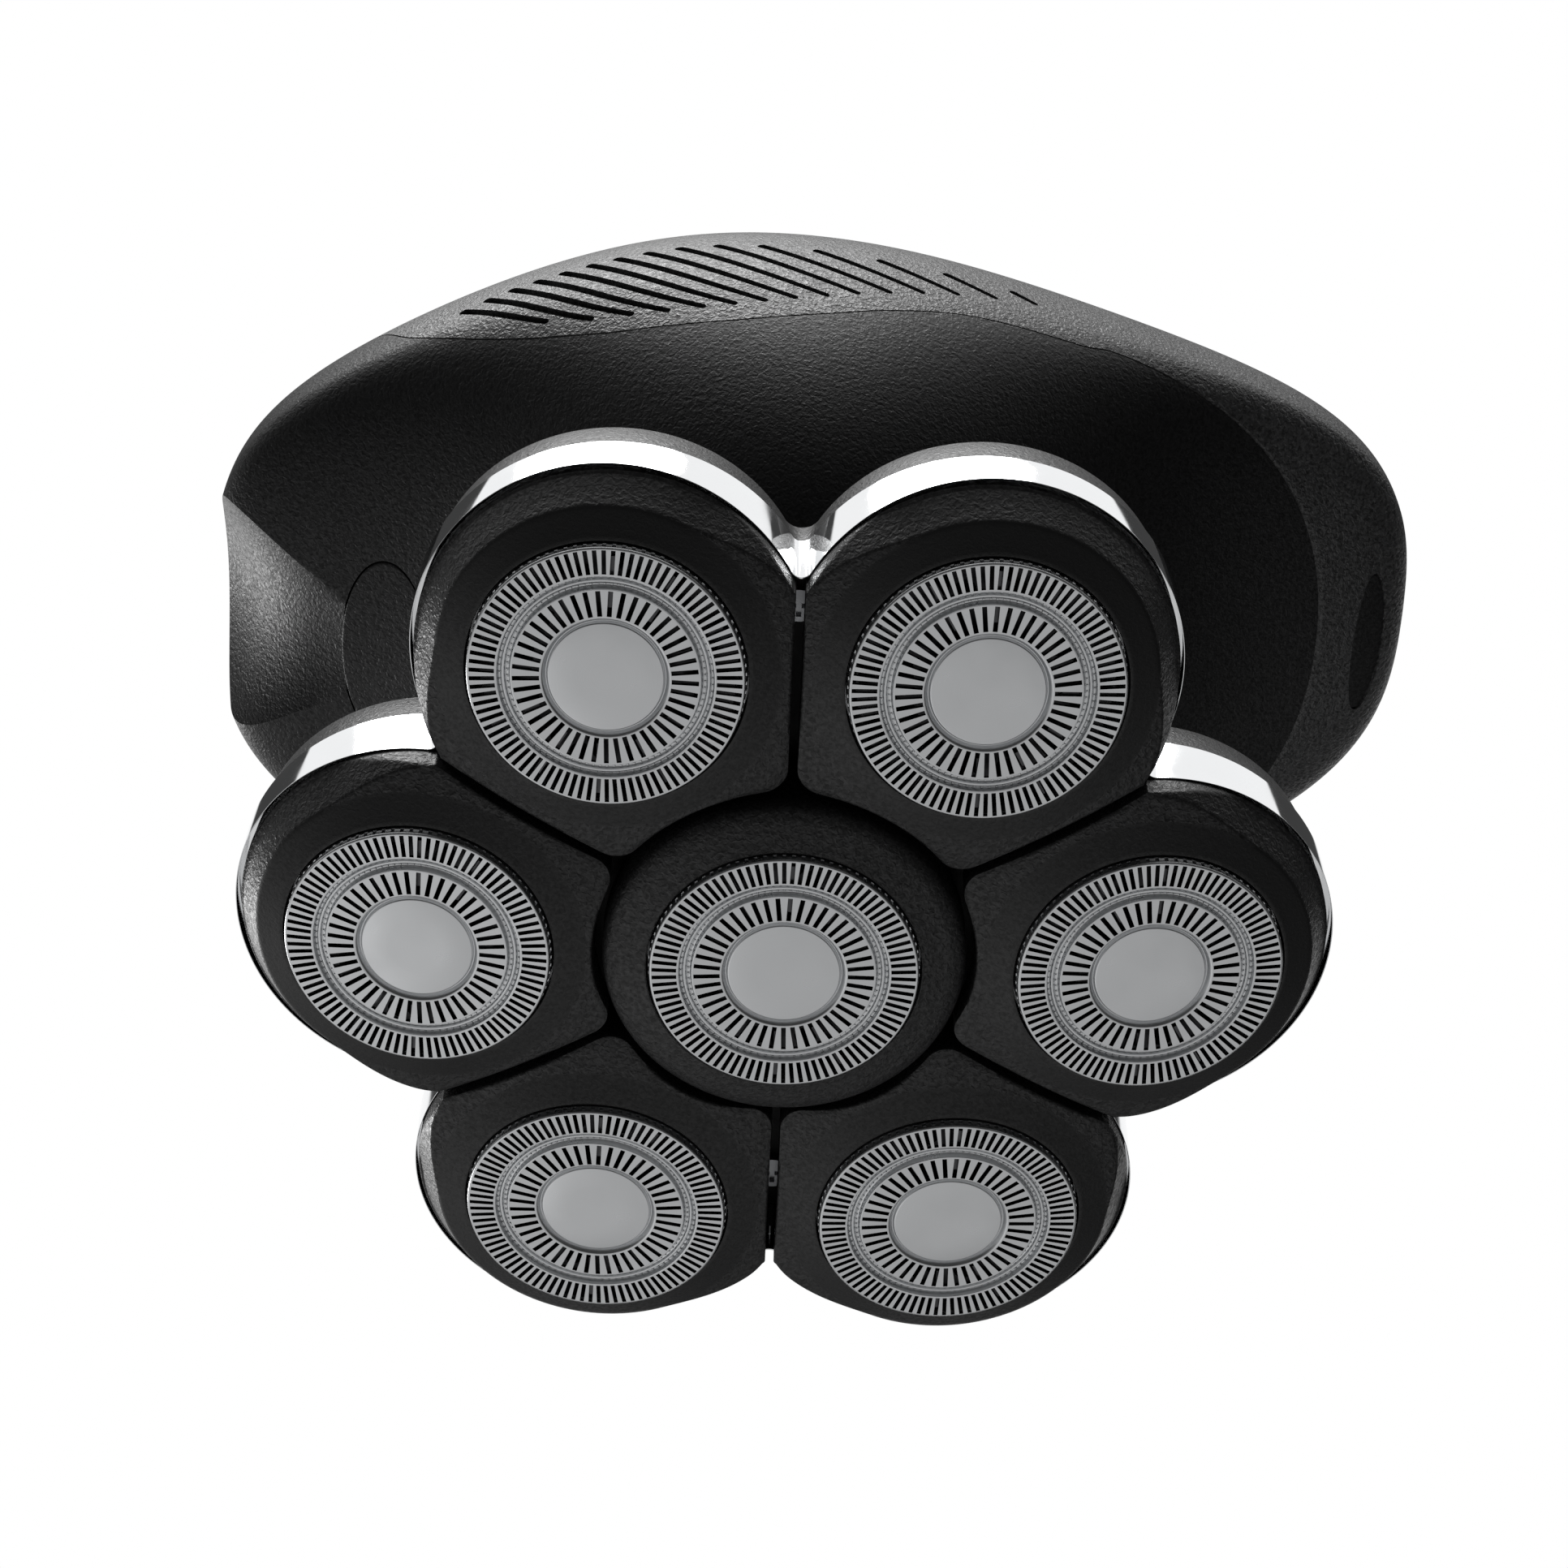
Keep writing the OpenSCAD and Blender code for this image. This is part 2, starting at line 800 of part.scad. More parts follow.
// Solid through flower outlines, one for each [inset, height] of rings
module flower_loft(r, rings, rho = notch_r) {
    half = [27.6, 28.5, 29.1, 29.7];
    spread = concat(-1 * [for (i = [3:-1:0]) half[i]], [for (i = [-6:6]) 4.2 * i], half);
    angles = [for (k = [0:5]) for (t = spread) step * k + t];
    n = len(angles);
    top = len(rings) - 1;
    pts = [
        for (q = rings)
            for (a = angles)
                let (d = flower_reach(a, r - q[0], lobe_x, rho + q[0]))
                    [d * cos(a), d * sin(a), q[1]]
    ];
    walls = [
        for (i = [0:top - 1])
            for (j = [0:n - 1])
                let (k = (j + 1) % n)
                    each [[i * n + j, (i + 1) * n + k, i * n + k],
                        [i * n + j, (i + 1) * n + j, (i + 1) * n + k]]
    ];
    ends = [[for (j = [0:n - 1]) j], [for (j = [n - 1:-1:0]) top * n + j]];
    polyhedron(pts, concat(walls, ends), convexity = 6);
}

module head_base() {
    screw_bore = 0.7 / cos(180 / 24);
    color(black)
        resize([0, 0, 0])
            difference() {
                union() {
                    flower_loft(base_r, [[0, base_z], [0, chamfer_z],
                        [base_top - chamfer_z, base_top]]);
                    translate([0, 0, base_top - 0.1])
                        cylinder(r = neck_r, h = neck_top - base_top + 0.1, $fn = 64);
                }
                difference() {
                    flower_loft(pocket_r, [[0, base_z - 1], [0, floor_z]], notch_r + base_r - pocket_r);
                    around(screw_x, 30)
                        translate([0, 0, base_z - 2])
                            cylinder(r = 1.6, h = 6, $fn = 24);
                }
                translate([0, 0, floor_z - 1])
                    cylinder(r = drive_hub_r + shaft_fit, h = 10, $fn = 64);
                around(spindle_x)
                    translate([0, 0, floor_z - 0.1])
                        cylinder(r = spindle_r + shaft_fit, h = 1.05, $fn = 48);
                around(screw_x, 30)
                    translate([0, 0, base_z - 0.1])
                        cylinder(r = screw_bore, h = 2, $fn = 24);
            }
}

// ---- handle -----------------------------------------------------------------

function sgn_pow(v, e) = sign(v) * pow(abs(v), e);

// Closing-off of the handle's ends
function end_round(x) =
    let (t = (x - mid_x) / half_len)
    let (p = t < 0 ? 3.4 : 2.85)
    pow(max(0.0001, 1 - pow(abs(t), p)), 1 / p);

function half_width(x) =
    (side_w + swell * exp(-pow((x - swell_x) / swell_len, 2)) + 0.028 * (x - mid_x))
    * end_round(x);

function waist(x) = waist_z + 0.062 * (x - mid_x) + 3.9 * pow((x - mid_x) / half_len, 2);

function under(x) = (under_end + under_mid * exp(-pow(x / under_len, 2))) * end_round(x);

// Point of the handle's skin at length x and turn a, moved inwards by w
function skin(x, a, w) =
    let (e = 2 / 2.15)
    let (hw = max(0.02, half_width(x) - w))
    let (up = max(0.02, half_width(x) * dome_ratio - w))
    let (dn = max(0.02, under(x) - w))
    [x, hw * sgn_pow(cos(a), e), waist(x) + (sin(a) > 0 ? up : dn) * sgn_pow(sin(a), e)];

// Closed skin of nx rings of na points; the ends are drawn in by w
module handle_body(nx, na, w) {
    half = half_len - w;
    xs = [for (i = [0:nx]) mid_x + half * sin(-89 + 178 * i / nx)];
    pts = [for (x = xs) for (j = [0:na - 1]) skin(x, 360 / na * (j + 0.5), w)];
    walls = [
        for (i = [0:nx - 1])
            for (j = [0:na - 1])
                let (a = i * na + j, b = i * na + (j + 1) % na)
                    each [[a, a + na, b + na], [a, b + na, b]]
    ];
    ends = [[for (j = [0:na - 1]) j], [for (j = [na - 1:-1:0]) nx * na + j]];
    polyhedron(pts, concat(walls, ends), convexity = 6);
}

// Side view of the joint between palm cover and main shell, as [x, z]
seam = [
    [-43, 90], [-41, 72], [-38.5, 63], [-34.2, 57.2], [-28.5, 51.5], [-22.8, 47.5],
    [-14, 44.3], [-6, 43.6], [1, 45], [7.1, 47.5], [13.6, 50], [22.5, 51.8],
    [27.4, 53.1], [45.5, 54.1], [70, 54.1]
];

module above_seam() {
    rotate([90, 0, 0])
        translate([0, 0, -50])
            linear_extrude(100)
                polygon(concat(seam, [[70, 90]]));
}

// Thumb hollow in the button end; its floor bends from steep at the tip to
// shallow near the button, and can be drawn inwards
module thumb_hollow(grow = 0) {
    r = 22;
    turn = 18;
    steep = 60;
    shallow = 32;
    n = 90;
    mid = [mid_x - half_len + 2.9 + turn * sin(steep), waist_z + 1.7 + turn * cos(steep)];
    stops = concat([[steep, -12]], [for (i = [0:6]) [steep + (shallow - steep) * i / 6, 0]], [[shallow, 14]]);
    last = len(stops) - 1;
    pts = [
        for (q = stops)
            for (j = [0:n - 1])
                let (t = 360 / n * (j + 0.5))
                let (rho = turn + r - (r + grow) * cos(t))
                    [
                        mid[0] - rho * sin(q[0]) + q[1] * cos(q[0]),
                        (r + grow) * sin(t),
                        mid[1] - rho * cos(q[0]) - q[1] * sin(q[0])
                    ]
    ];
    walls = [
        for (i = [0:last - 1])
            for (j = [0:n - 1])
                let (a = i * n + j, b = i * n + (j + 1) % n)
                    each [[a, b + n, a + n], [a, b, b + n]]
    ];
    ends = [[for (j = [n - 1:-1:0]) j], [for (j = [0:n - 1]) last * n + j]];
    polyhedron(pts, concat(walls, ends), convexity = 4);
}

// Flank half width at length x and height z
function flank(x, z) =
    let (v = (z - waist(x)) / (z > waist(x) ? half_width(x) * dome_ratio : under(x)))
    half_width(x) * pow(max(0, 1 - pow(abs(v), 2.15)), 1 / 2.15);

// Point of the grip groove i on the flank, at share t of its length
function groove_point(i, t) =
    let (top = [-27.9 + 2.03 * i + 0.00043 * pow(i, 4), 54.3 + 0.2 * i + 0.5 * sin(12.86 * i)])
    let (low = [-20.5 + 2.83 * i + 1.2 * sin(25.7 * i),
        45.5 + (i < 4 ? 0.16 * pow(4 - i, 2) : 0.104 * pow(i - 4, 2))])
    let (sag = 0.018 * pow(top[1] - low[1], 2))
    let (x = top[0] + (low[0] - top[0]) * t)
    let (z = top[1] + (low[1] - top[1]) * t - 4 * sag * t * (1 - t))
    [x, -flank(x, z), z];

module grip_groove(i) {
    for (h = [0, 1]) {
        p = groove_point(i, h / 2);
        q = groove_point(i, h / 2 + 0.5);
        d = q - p;
        len = norm(d);
        translate((p + q) / 2)
            rotate([0, acos(d[2] / len), atan2(d[1], d[0])])
                cube([groove_w, 2 * groove_cut, len + 0.02], center = true);
    }
}

module button_outline(gap) {
    translate([button_x, 0, button_z])
        rotate([0, button_tilt, 0])
            translate([0, 0, -8])
                linear_extrude(16)
                    polygon([
                        for (a = [0:10:350])
                            [(button_w + gap) * cos(a), (button_l + gap) * sin(a)]
                    ]);
}

// Stadium-shaped prism along the charging port's axis, between depths d0 and d1
module port_prism(grow, d0, d1) {
    translate(port_at)
        rotate([0, port_turn, 0])
            translate([0, 0, d0])
                linear_extrude(d1 - d0)
                    union() {
                        square([2 * (plug_h + grow), 2 * (plug_l - plug_h)], center = true);
                        for (m = [-1, 1])
                            translate([0, m * (plug_l - plug_h)])
                                circle(plug_h + grow, $fn = 32);
                    }
}

module shell_pair() {
    difference() {
        union() {
            difference() {
                handle_body(36, 36, 0);
                thumb_hollow();
            }
            translate([0, 0, skirt_z])
                cylinder(r = skirt_r, h = 14, $fn = 64);
        }
        difference() {
            handle_body(18, 20, shell_wall);
            thumb_hollow(hollow_wall);
        }
        translate([0, 0, skirt_z - 1])
            cylinder(r = collar_r / cos(180 / 64), h = 16, $fn = 64);
        translate([0, 0, -70])
            cube([200, 200, 2 * (70 + skirt_z)], center = true);
    }
}

module main_shell() {
    color([0.11, 0.11, 0.11])
        resize([0, 0, 0])
            difference() {
                shell_pair();
                above_seam();
                button_outline(button_gap);
            }
}

module palm_cover() {
    color([0.14, 0.14, 0.14])
        resize([0, 0, 0])
            difference() {
                intersection() {
                    union() {
                        shell_pair();
                        intersection() {
                            port_prism(1.2, -9.5, 5);
                            handle_body(36, 36, 0.6);
                        }
                    }
                    above_seam();
                }
                for (i = [0:grip_grooves - 1])
                    for (m = [0, 1])
                        mirror([0, m, 0])
                            grip_groove(i);
                port_prism(plug_gap, -12, 8);
            }
}

module power_button() {
    color([0.13, 0.13, 0.13])
        resize([0, 0, 0])
            intersection() {
                difference() {
                    handle_body(36, 36, -0.15);
                    difference() {
                        handle_body(18, 20, shell_wall + 0.4);
                        thumb_hollow(hollow_wall);
                    }
                    thumb_hollow();
                }
                button_outline(0);
            }
}

// Soft plug of the charging port, sunk a little below the skin
module charging_plug() {
    color([0.06, 0.06, 0.06])
        resize([0, 0, 0])
            intersection() {
                port_prism(0, -3, 5);
                handle_body(36, 36, 0.5);
            }
}

// ---- inside the handle ------------------------------------------------------

// Socket held in the cover's pocket, behind the plug
module charging_socket() {
    color([0.7, 0.71, 0.72])
        difference() {
            port_prism(plug_gap - 0.02, -9.5, -3.4);
            port_prism(-0.4, -8.8, -3);
        }
}

module battery() {
    color([0.2, 0.35, 0.6])
        translate([-cell_l / 2, 0, board_z + board_t + cell_r])
            rotate([0, 90, 0])
                union() {
                    cylinder(r = cell_r, h = cell_l - 1);
                    cylinder(r = 2.7, h = cell_l);
                }
}

module circuit_board() {
    color([0.05, 0.35, 0.15])
        translate([0.5 - board_l / 2, -board_w / 2, board_z])
            difference() {
                cube([board_l, board_w, board_t]);
                for (x = [3, board_l - 3], y = [3, board_w - 3])
                    translate([x, y, -1])
                        cylinder(r = 1.1, h = 4, $fn = 32);
            }
}

module motor() {
    color([0.6, 0.61, 0.63])
        translate([0, 0, motor_z])
            difference() {
                union() {
                    cylinder(r = motor_r, h = motor_l);
                    cylinder(r = 3.5, h = motor_l + 1.5);
                }
                translate([0, 0, -1])
                    cylinder(r = 1.2, h = 8, $fn = 48);
            }
}

module motor_shaft() {
    color([0.6, 0.61, 0.63])
        union() {
            translate([0, 0, 15])
                cylinder(r = motor_hex_r, h = 4.4, $fn = 6);
            translate([0, 0, 19])
                cylinder(r = 1.15, h = motor_z + 6 - 19, $fn = 48);
        }
}

module motor_bracket() {
    color([0.3, 0.3, 0.31])
        union() {
            translate([0, 0, bracket_z])
                difference() {
                    cylinder(r = collar_r - 0.1, h = bracket_t);
                    translate([0, 0, -1])
                        cylinder(r = 2.4, h = 5, $fn = 48);
                }
            for (s = [-1, 1])
                translate([13 * s, 0, bracket_z + 1])
                    cylinder(r = 1.8, h = board_z - bracket_z - 1, $fn = 48);
        }
}

module latch_collar() {
    color([0.16, 0.16, 0.16])
        difference() {
            translate([0, 0, collar_z])
                cylinder(r = collar_r, h = bracket_z - collar_z);
            translate([0, 0, collar_z - 1])
                cylinder(r = neck_r + collar_fit, h = 10);
        }
}

// ---- nodes ------------------------------------------------------------------

centre_ring();
pod(1);  // pod_1
pod(2);  // pod_2
pod(3);  // pod_3
pod(4);  // pod_4
pod(5);  // pod_5
pod(6);  // pod_6
guard(0);  // guard_0
guard(1);  // guard_1
guard(2);  // guard_2
guard(3);  // guard_3
guard(4);  // guard_4
guard(5);  // guard_5
guard(6);  // guard_6
blade(0);  // blade_0
blade(1);  // blade_1
blade(2);  // blade_2
blade(3);  // blade_3
blade(4);  // blade_4
blade(5);  // blade_5
blade(6);  // blade_6
retainer(0);  // retainer_0
retainer(1);  // retainer_1
retainer(2);  // retainer_2
retainer(3);  // retainer_3
retainer(4);  // retainer_4
retainer(5);  // retainer_5
retainer(6);  // retainer_6
drive_gear();
cutter_gear(1);  // gear_1
cutter_gear(2);  // gear_2
cutter_gear(3);  // gear_3
cutter_gear(4);  // gear_4
cutter_gear(5);  // gear_5
cutter_gear(6);  // gear_6
drive_spindle();
spindle(1);  // spindle_1
spindle(2);  // spindle_2
spindle(3);  // spindle_3
spindle(4);  // spindle_4
spindle(5);  // spindle_5
spindle(6);  // spindle_6
spindle_springs();
head_base();
chrome_trim();
gear_plate();
hinge_pins();
head_screws();
main_shell();
palm_cover();
power_button();
charging_plug();
charging_socket();
battery();
circuit_board();
motor();
motor_shaft();
motor_bracket();
latch_collar();
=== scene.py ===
"""Dressed model of a rotary electric shaver with seven cutters, built round its CAD frame."""
import math
import bmesh
import bpy
import numpy as np
from mathutils import Matrix, Vector


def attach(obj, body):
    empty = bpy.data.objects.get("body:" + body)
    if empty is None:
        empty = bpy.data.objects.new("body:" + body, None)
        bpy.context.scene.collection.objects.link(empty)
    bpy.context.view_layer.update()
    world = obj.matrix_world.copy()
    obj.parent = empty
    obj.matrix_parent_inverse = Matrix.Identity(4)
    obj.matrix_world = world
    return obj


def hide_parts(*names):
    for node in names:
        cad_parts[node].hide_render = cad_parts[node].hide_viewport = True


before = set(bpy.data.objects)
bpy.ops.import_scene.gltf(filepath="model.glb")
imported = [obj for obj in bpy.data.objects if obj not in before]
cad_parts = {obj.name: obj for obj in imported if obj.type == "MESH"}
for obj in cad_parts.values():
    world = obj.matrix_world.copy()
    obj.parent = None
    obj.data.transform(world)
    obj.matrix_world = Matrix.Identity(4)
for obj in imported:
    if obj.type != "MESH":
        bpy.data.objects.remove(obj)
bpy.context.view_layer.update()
MM = 0.001
PI = math.pi

# ---- sizes, in millimetres --------------------------------------------------------
# R is a radius, X a distance from the drive axis, Z or TOP a height in the shared frame, and
# S or BACK a depth behind the plane of a guard's rim.

# An outer guard: distance from the drive axis, drop behind the centre guard, and lean
PITCH, DROP, TILT = 27.17, 1.63, math.radians(6.137)
# A pod: bore, inner edge of the face, edge of the bowl, and seat of the guard's flange
BORE_R, FACE_R, BOWL_R, SEAT_R, SEAT_S = 10.15, 10.28, 12.45, 11.1, 3.0
# A petal: outer arc, seam to the next one, arc round the centre ring, corner, back face
PETAL_R, PETAL_X, PETAL_GAP, PETAL_IN, PETAL_CORNER, PETAL_BACK = 14.47, 26.44, 0.6, 14.1, 2.0, 5.2
# A petal's face: depth at the bore, the bowl's radius per depth, and the slope past it
FACE_S, BOWL_RUN, SHELF_SLOPE = 0.6, 2.3, 0.33
# Its steep outer flank: slope, distance from the crease to the bend, and slope past the bend
FLANK_SLOPE, FLANK_BEND, FLANK_END_SLOPE = 1.6, 1.5, 0.45
# The flower's lobes and the notches between them, and the chrome trim with its front lip
LOBE_X, NOTCH = PITCH - 6.8 * math.sin(TILT), 0.8
CHROME_R, CHROME_WALL, CHROME_S, LIP_X = 14.75, 1.2, 6.2, 26.66
# The head's base, and its neck, which plugs into the handle
BASE_R, BASE_WALL, BASE_Z, BASE_DRAFT, BASE_TOP, FLOOR_Z = 14.6, 1.9, 10.8, 0.7, 14.95, 13.9
NECK_R, NECK_TOP, NECK_HOLE_R = 12.0, 19.5, 4.05
# The handle: middle, half length, power of its cross-section, dome's height by half width
MID_X, HALF_LEN, POWER, DOME = 2.2, 51.1, 2.15, 0.826
HANDLE_WALL, THUMB_WALL, THUMB_GROW = 2.2, 1.5, 0.13
SKIRT_R, SKIRT_Z, SKIRT_BORE_R = 16.5, 19.0, 15.03
# Half of the gap between the two shells, and the gap round the button and the plug
SEAM_HALF, HOLE_GAP = 0.07, 0.12


def column(v):
    return np.asarray(v, float)


def turns(n):
    """Directions spread evenly round a circle."""
    return np.arange(n) * 2 * PI / n


def circle(r, z, a):
    """Points at radius r and height z in the directions a."""
    return np.stack([r * np.cos(a), r * np.sin(a), 0 * a + z], 1)


def bisect(inside, low, high):
    """The largest values between low and high at which inside still holds."""
    for _ in range(40):
        mid = (low + high) / 2
        ok = inside(mid)
        low, high = np.where(ok, mid, low), np.where(ok, high, mid)
    return low


# ---- meshes --------------------------------------------------------------------

class Builder:
    """Collects points in millimetres and faces, and makes one mesh of them."""

    def __init__(self):
        self.points, self.faces, self.marks, self.count = [], [], [], 0

    def add(self, points, faces, mark=0):
        """Adds faces over points; mark is the number of their material."""
        points = column(points).reshape(-1, 3)
        self.points.append(points)
        self.faces.extend([tuple(i + self.count for i in f) for f in faces])
        self.marks.extend([mark] * len(faces))
        self.count += len(points)

    def grid(self, p, keep=None, mark=0):
        """Quads over rows of points that close up; keep says which quads are made."""
        rows, cols = p.shape[:2]
        faces = []
        for i in range(rows - 1):
            for j in range(cols):
                if keep is not None and not keep[i, j]:
                    continue
                k = (j + 1) % cols
                faces.append((i * cols + j, i * cols + k, (i + 1) * cols + k, (i + 1) * cols + j))
        self.add(p, faces, mark)

    def loft(self, loops, caps=True):
        """A skin through closed loops with equally many points."""
        p = np.stack([column(q) for q in loops])
        self.grid(p)
        if caps:
            n = p.shape[1]
            self.add(p[0], [tuple(range(n - 1, -1, -1))])
            self.add(p[-1], [tuple(range(n))])

    def revolve(self, profile, n, closed=False):
        """A skin turned about Z through the profile's radii and depths."""
        rows = [circle(r, s, turns(n)) for r, s in profile]
        if closed:
            rows.append(rows[0])
        self.grid(np.stack(rows))

    def box(self, low, high):
        (x0, y0, z0), (x1, y1, z1) = low, high
        p = [(x, y, z) for x in (x0, x1) for y in (y0, y1) for z in (z0, z1)]
        self.add(p, [(0, 1, 3, 2), (4, 6, 7, 5), (0, 4, 5, 1), (2, 3, 7, 6), (0, 2, 6, 4),
                     (1, 5, 7, 3)])

    def tube(self, outer, inner, y0, y1, at, n=48):
        """A ring about the Y direction, round the point with x and z as in at."""
        a = turns(n)
        rows = []
        for r, y in ((outer, y0), (outer, y1), (inner, y1), (inner, y0), (outer, y0)):
            rows.append(np.stack([at[0] + r * np.cos(a), 0 * a + y, at[1] + r * np.sin(a)], 1))
        self.grid(np.stack(rows))

    def mesh(self, name, angle, merge=0.002):
        """The mesh in metres, with sharp edges above angle and close points merged."""
        p = np.concatenate(self.points) * MM
        me = bpy.data.meshes.new(name)
        me.from_pydata(p.tolist(), [], self.faces)
        me.polygons.foreach_set("material_index", self.marks)
        bm = bmesh.new()
        bm.from_mesh(me)
        bmesh.ops.remove_doubles(bm, verts=bm.verts, dist=merge * MM)
        bmesh.ops.dissolve_degenerate(bm, edges=bm.edges, dist=merge * MM * 0.5)
        bmesh.ops.recalc_face_normals(bm, faces=bm.faces)
        bm.to_mesh(me)
        bm.free()
        smooth(me, angle)
        return me


def smooth(me, angle):
    me.polygons.foreach_set("use_smooth", [True] * len(me.polygons))
    me.set_sharp_from_angle(angle=math.radians(angle))


def put(name, me, materials, matrix=None):
    ob = bpy.data.objects.new(name, me)
    bpy.context.scene.collection.objects.link(ob)
    if not me.materials:
        for m in materials:
            me.materials.append(m)
    if matrix is not None:
        ob.matrix_world = matrix
    return ob


def cutter_matrix(k):
    """Moves a guard from the centre to cutter k, without a turn about its own axis."""
    if k == 0:
        return Matrix.Identity(4)
    turn = Matrix.Rotation(math.radians(60 * (k - 1)), 4, "Z")
    move = Matrix.Translation(Vector((PITCH, 0, DROP)) * MM)
    return turn @ move @ Matrix.Rotation(-TILT, 4, "Y") @ turn.inverted()


def cut(a, b, operation="DIFFERENCE"):
    """Applies one boolean to object a with object b, and drops b."""
    m = a.modifiers.new("cut", "BOOLEAN")
    m.object, m.operation, m.solver = b, operation, "MANIFOLD"
    bpy.context.view_layer.update()
    made = bpy.data.meshes.new_from_object(a.evaluated_get(bpy.context.evaluated_depsgraph_get()))
    a.modifiers.clear()
    old, a.data = a.data, made
    bpy.data.meshes.remove(old)
    bpy.data.objects.remove(b)
    return a


# ---- materials -----------------------------------------------------------------

def material(name, colour, roughness, metallic=0.0, specular=0.5):
    m = bpy.data.materials.new(name)
    m.use_nodes = True
    tree = m.node_tree
    shader = tree.nodes["Principled BSDF"]
    shader.inputs["Base Color"].default_value = (*colour, 1)
    shader.inputs["Roughness"].default_value = roughness
    shader.inputs["Metallic"].default_value = metallic
    shader.inputs["Specular IOR Level"].default_value = specular
    m.diffuse_color = (*colour, 1)
    return m, tree, shader


def node(tree, kind, inputs=None, **props):
    """A new node with its properties set, and its inputs set or linked."""
    n = tree.nodes.new(kind)
    for k, v in props.items():
        setattr(n, k, v)
    for k, v in (inputs or {}).items():
        if isinstance(v, bpy.types.NodeSocket):
            tree.links.new(v, n.inputs[k])
        else:
            n.inputs[k].default_value = v
    return n


def maths(tree, operation, *values, **props):
    """The result of an operation on numbers and sockets."""
    n = node(tree, "ShaderNodeMath", dict(enumerate(values)), operation=operation, **props)
    return n.outputs[0]


def noise(tree, inputs, **props):
    return node(tree, "ShaderNodeTexNoise", inputs, **props).outputs["Fac"]


def spread(tree, source, low, high):
    """The middle of a noise's range, stretched from low to high."""
    n = node(tree, "ShaderNodeMapRange", {"Value": source, "From Min": 0.3, "From Max": 0.7,
                                          "To Min": low, "To Max": high})
    return n.outputs["Result"]


def mix(tree, factor, a, b, blend="MIX"):
    """Colour b laid over colour a; the sockets 6 and 7 are the Mix node's two colours."""
    n = node(tree, "ShaderNodeMix", {"Factor": factor, 6: a, 7: b}, data_type="RGBA",
             blend_type=blend)
    return n.outputs[2]


def tint(tree, source, a, b):
    """Colour a where a noise is low, and b where it is high."""
    return mix(tree, spread(tree, source, 0.0, 1.0), (*a, 1), (*b, 1))


def emboss(tree, shader, height, strength, depth):
    """Bumps of depth millimetres in the shader's normal."""
    n = node(tree, "ShaderNodeBump", {"Height": height, "Strength": strength,
                                      "Distance": depth * MM})
    tree.links.new(n.outputs["Normal"], shader.inputs["Normal"])


def grained(name, colour, light, roughness, size=0.36, depth=0.09, specular=0.4, painted_grain_shading=0.75):
    """Black plastic with a moulded leathery grain, rougher in its valleys, with painted shade in
    the valleys and a painted highlight on the peaks.
    """
    m, t, s = material(name, colour, roughness, 0.0, specular)
    co = node(t, "ShaderNodeTexCoord").outputs["Object"]
    fine = noise(t, {"Vector": co, "Scale": 1.0 / size / MM, "Detail": 1.5, "Roughness": 0.55,
                     "Distortion": 0.6})
    broad = noise(t, {"Vector": co, "Scale": 90.0, "Detail": 1.0})
    emboss(t, s, fine, 1.0, depth)
    t.links.new(spread(t, fine, roughness + 0.14, roughness - 0.08), s.inputs["Roughness"])
    # Painted shade darkens the grain's valleys and a painted highlight lightens its peaks
    low, high = 1 - painted_grain_shading, 1 + 1.6 * painted_grain_shading
    grain = tint(t, fine, (low, low, low), (high, high, high))
    shade = mix(t, 1.0, tint(t, broad, colour, light), grain, "MULTIPLY")
    t.links.new(shade, s.inputs["Base Color"])
    return m


def steel(name, colour, roughness, lines=0.003, spacing=0.05, round_axis=False):
    """Ground steel: fine marks, turned about the piece's own axis or drawn along X, and smears."""
    m, t, s = material(name, colour, roughness, 1.0)
    co = node(t, "ShaderNodeTexCoord").outputs["Object"]
    per_metre = 1.0 / spacing / MM
    if round_axis:
        xyz = node(t, "ShaderNodeSeparateXYZ", {"Vector": co}).outputs
        xx = maths(t, "MULTIPLY", xyz["X"], xyz["X"])
        r = maths(t, "SQRT", maths(t, "MULTIPLY_ADD", xyz["Y"], xyz["Y"], xx))
        marks = noise(t, {"W": maths(t, "MULTIPLY", r, per_metre), "Scale": 1.0, "Detail": 2.0},
                      noise_dimensions="1D")
    else:
        drawn = node(t, "ShaderNodeMapping", {"Vector": co, "Scale": (40.0, per_metre, per_metre)})
        marks = noise(t, {"Vector": drawn.outputs[0], "Scale": 1.0, "Detail": 2.0})
    smear = noise(t, {"Vector": co, "Scale": 220.0, "Detail": 3.0})
    emboss(t, s, marks, 0.6, lines)
    t.links.new(spread(t, smear, roughness - 0.05, roughness + 0.07), s.inputs["Roughness"])
    dark = tuple(c * 0.93 for c in colour)
    t.links.new(tint(t, marks, dark, colour), s.inputs["Base Color"])
    return m


def plain(name, colour, roughness, metallic=0.0, grain=900.0, depth=0.01, vary=0.12):
    """A smooth moulded, pressed or plated surface with slight unevenness."""
    m, t, s = material(name, colour, roughness, metallic)
    co = node(t, "ShaderNodeTexCoord").outputs["Object"]
    uneven = noise(t, {"Vector": co, "Scale": grain, "Detail": 3.0})
    emboss(t, s, uneven, 0.5, depth)
    t.links.new(spread(t, uneven, max(0.02, roughness - 0.05), roughness + 0.05),
                s.inputs["Roughness"])
    dark = tuple(c * (1 - vary) for c in colour)
    t.links.new(tint(t, uneven, dark, colour), s.inputs["Base Color"])
    return m


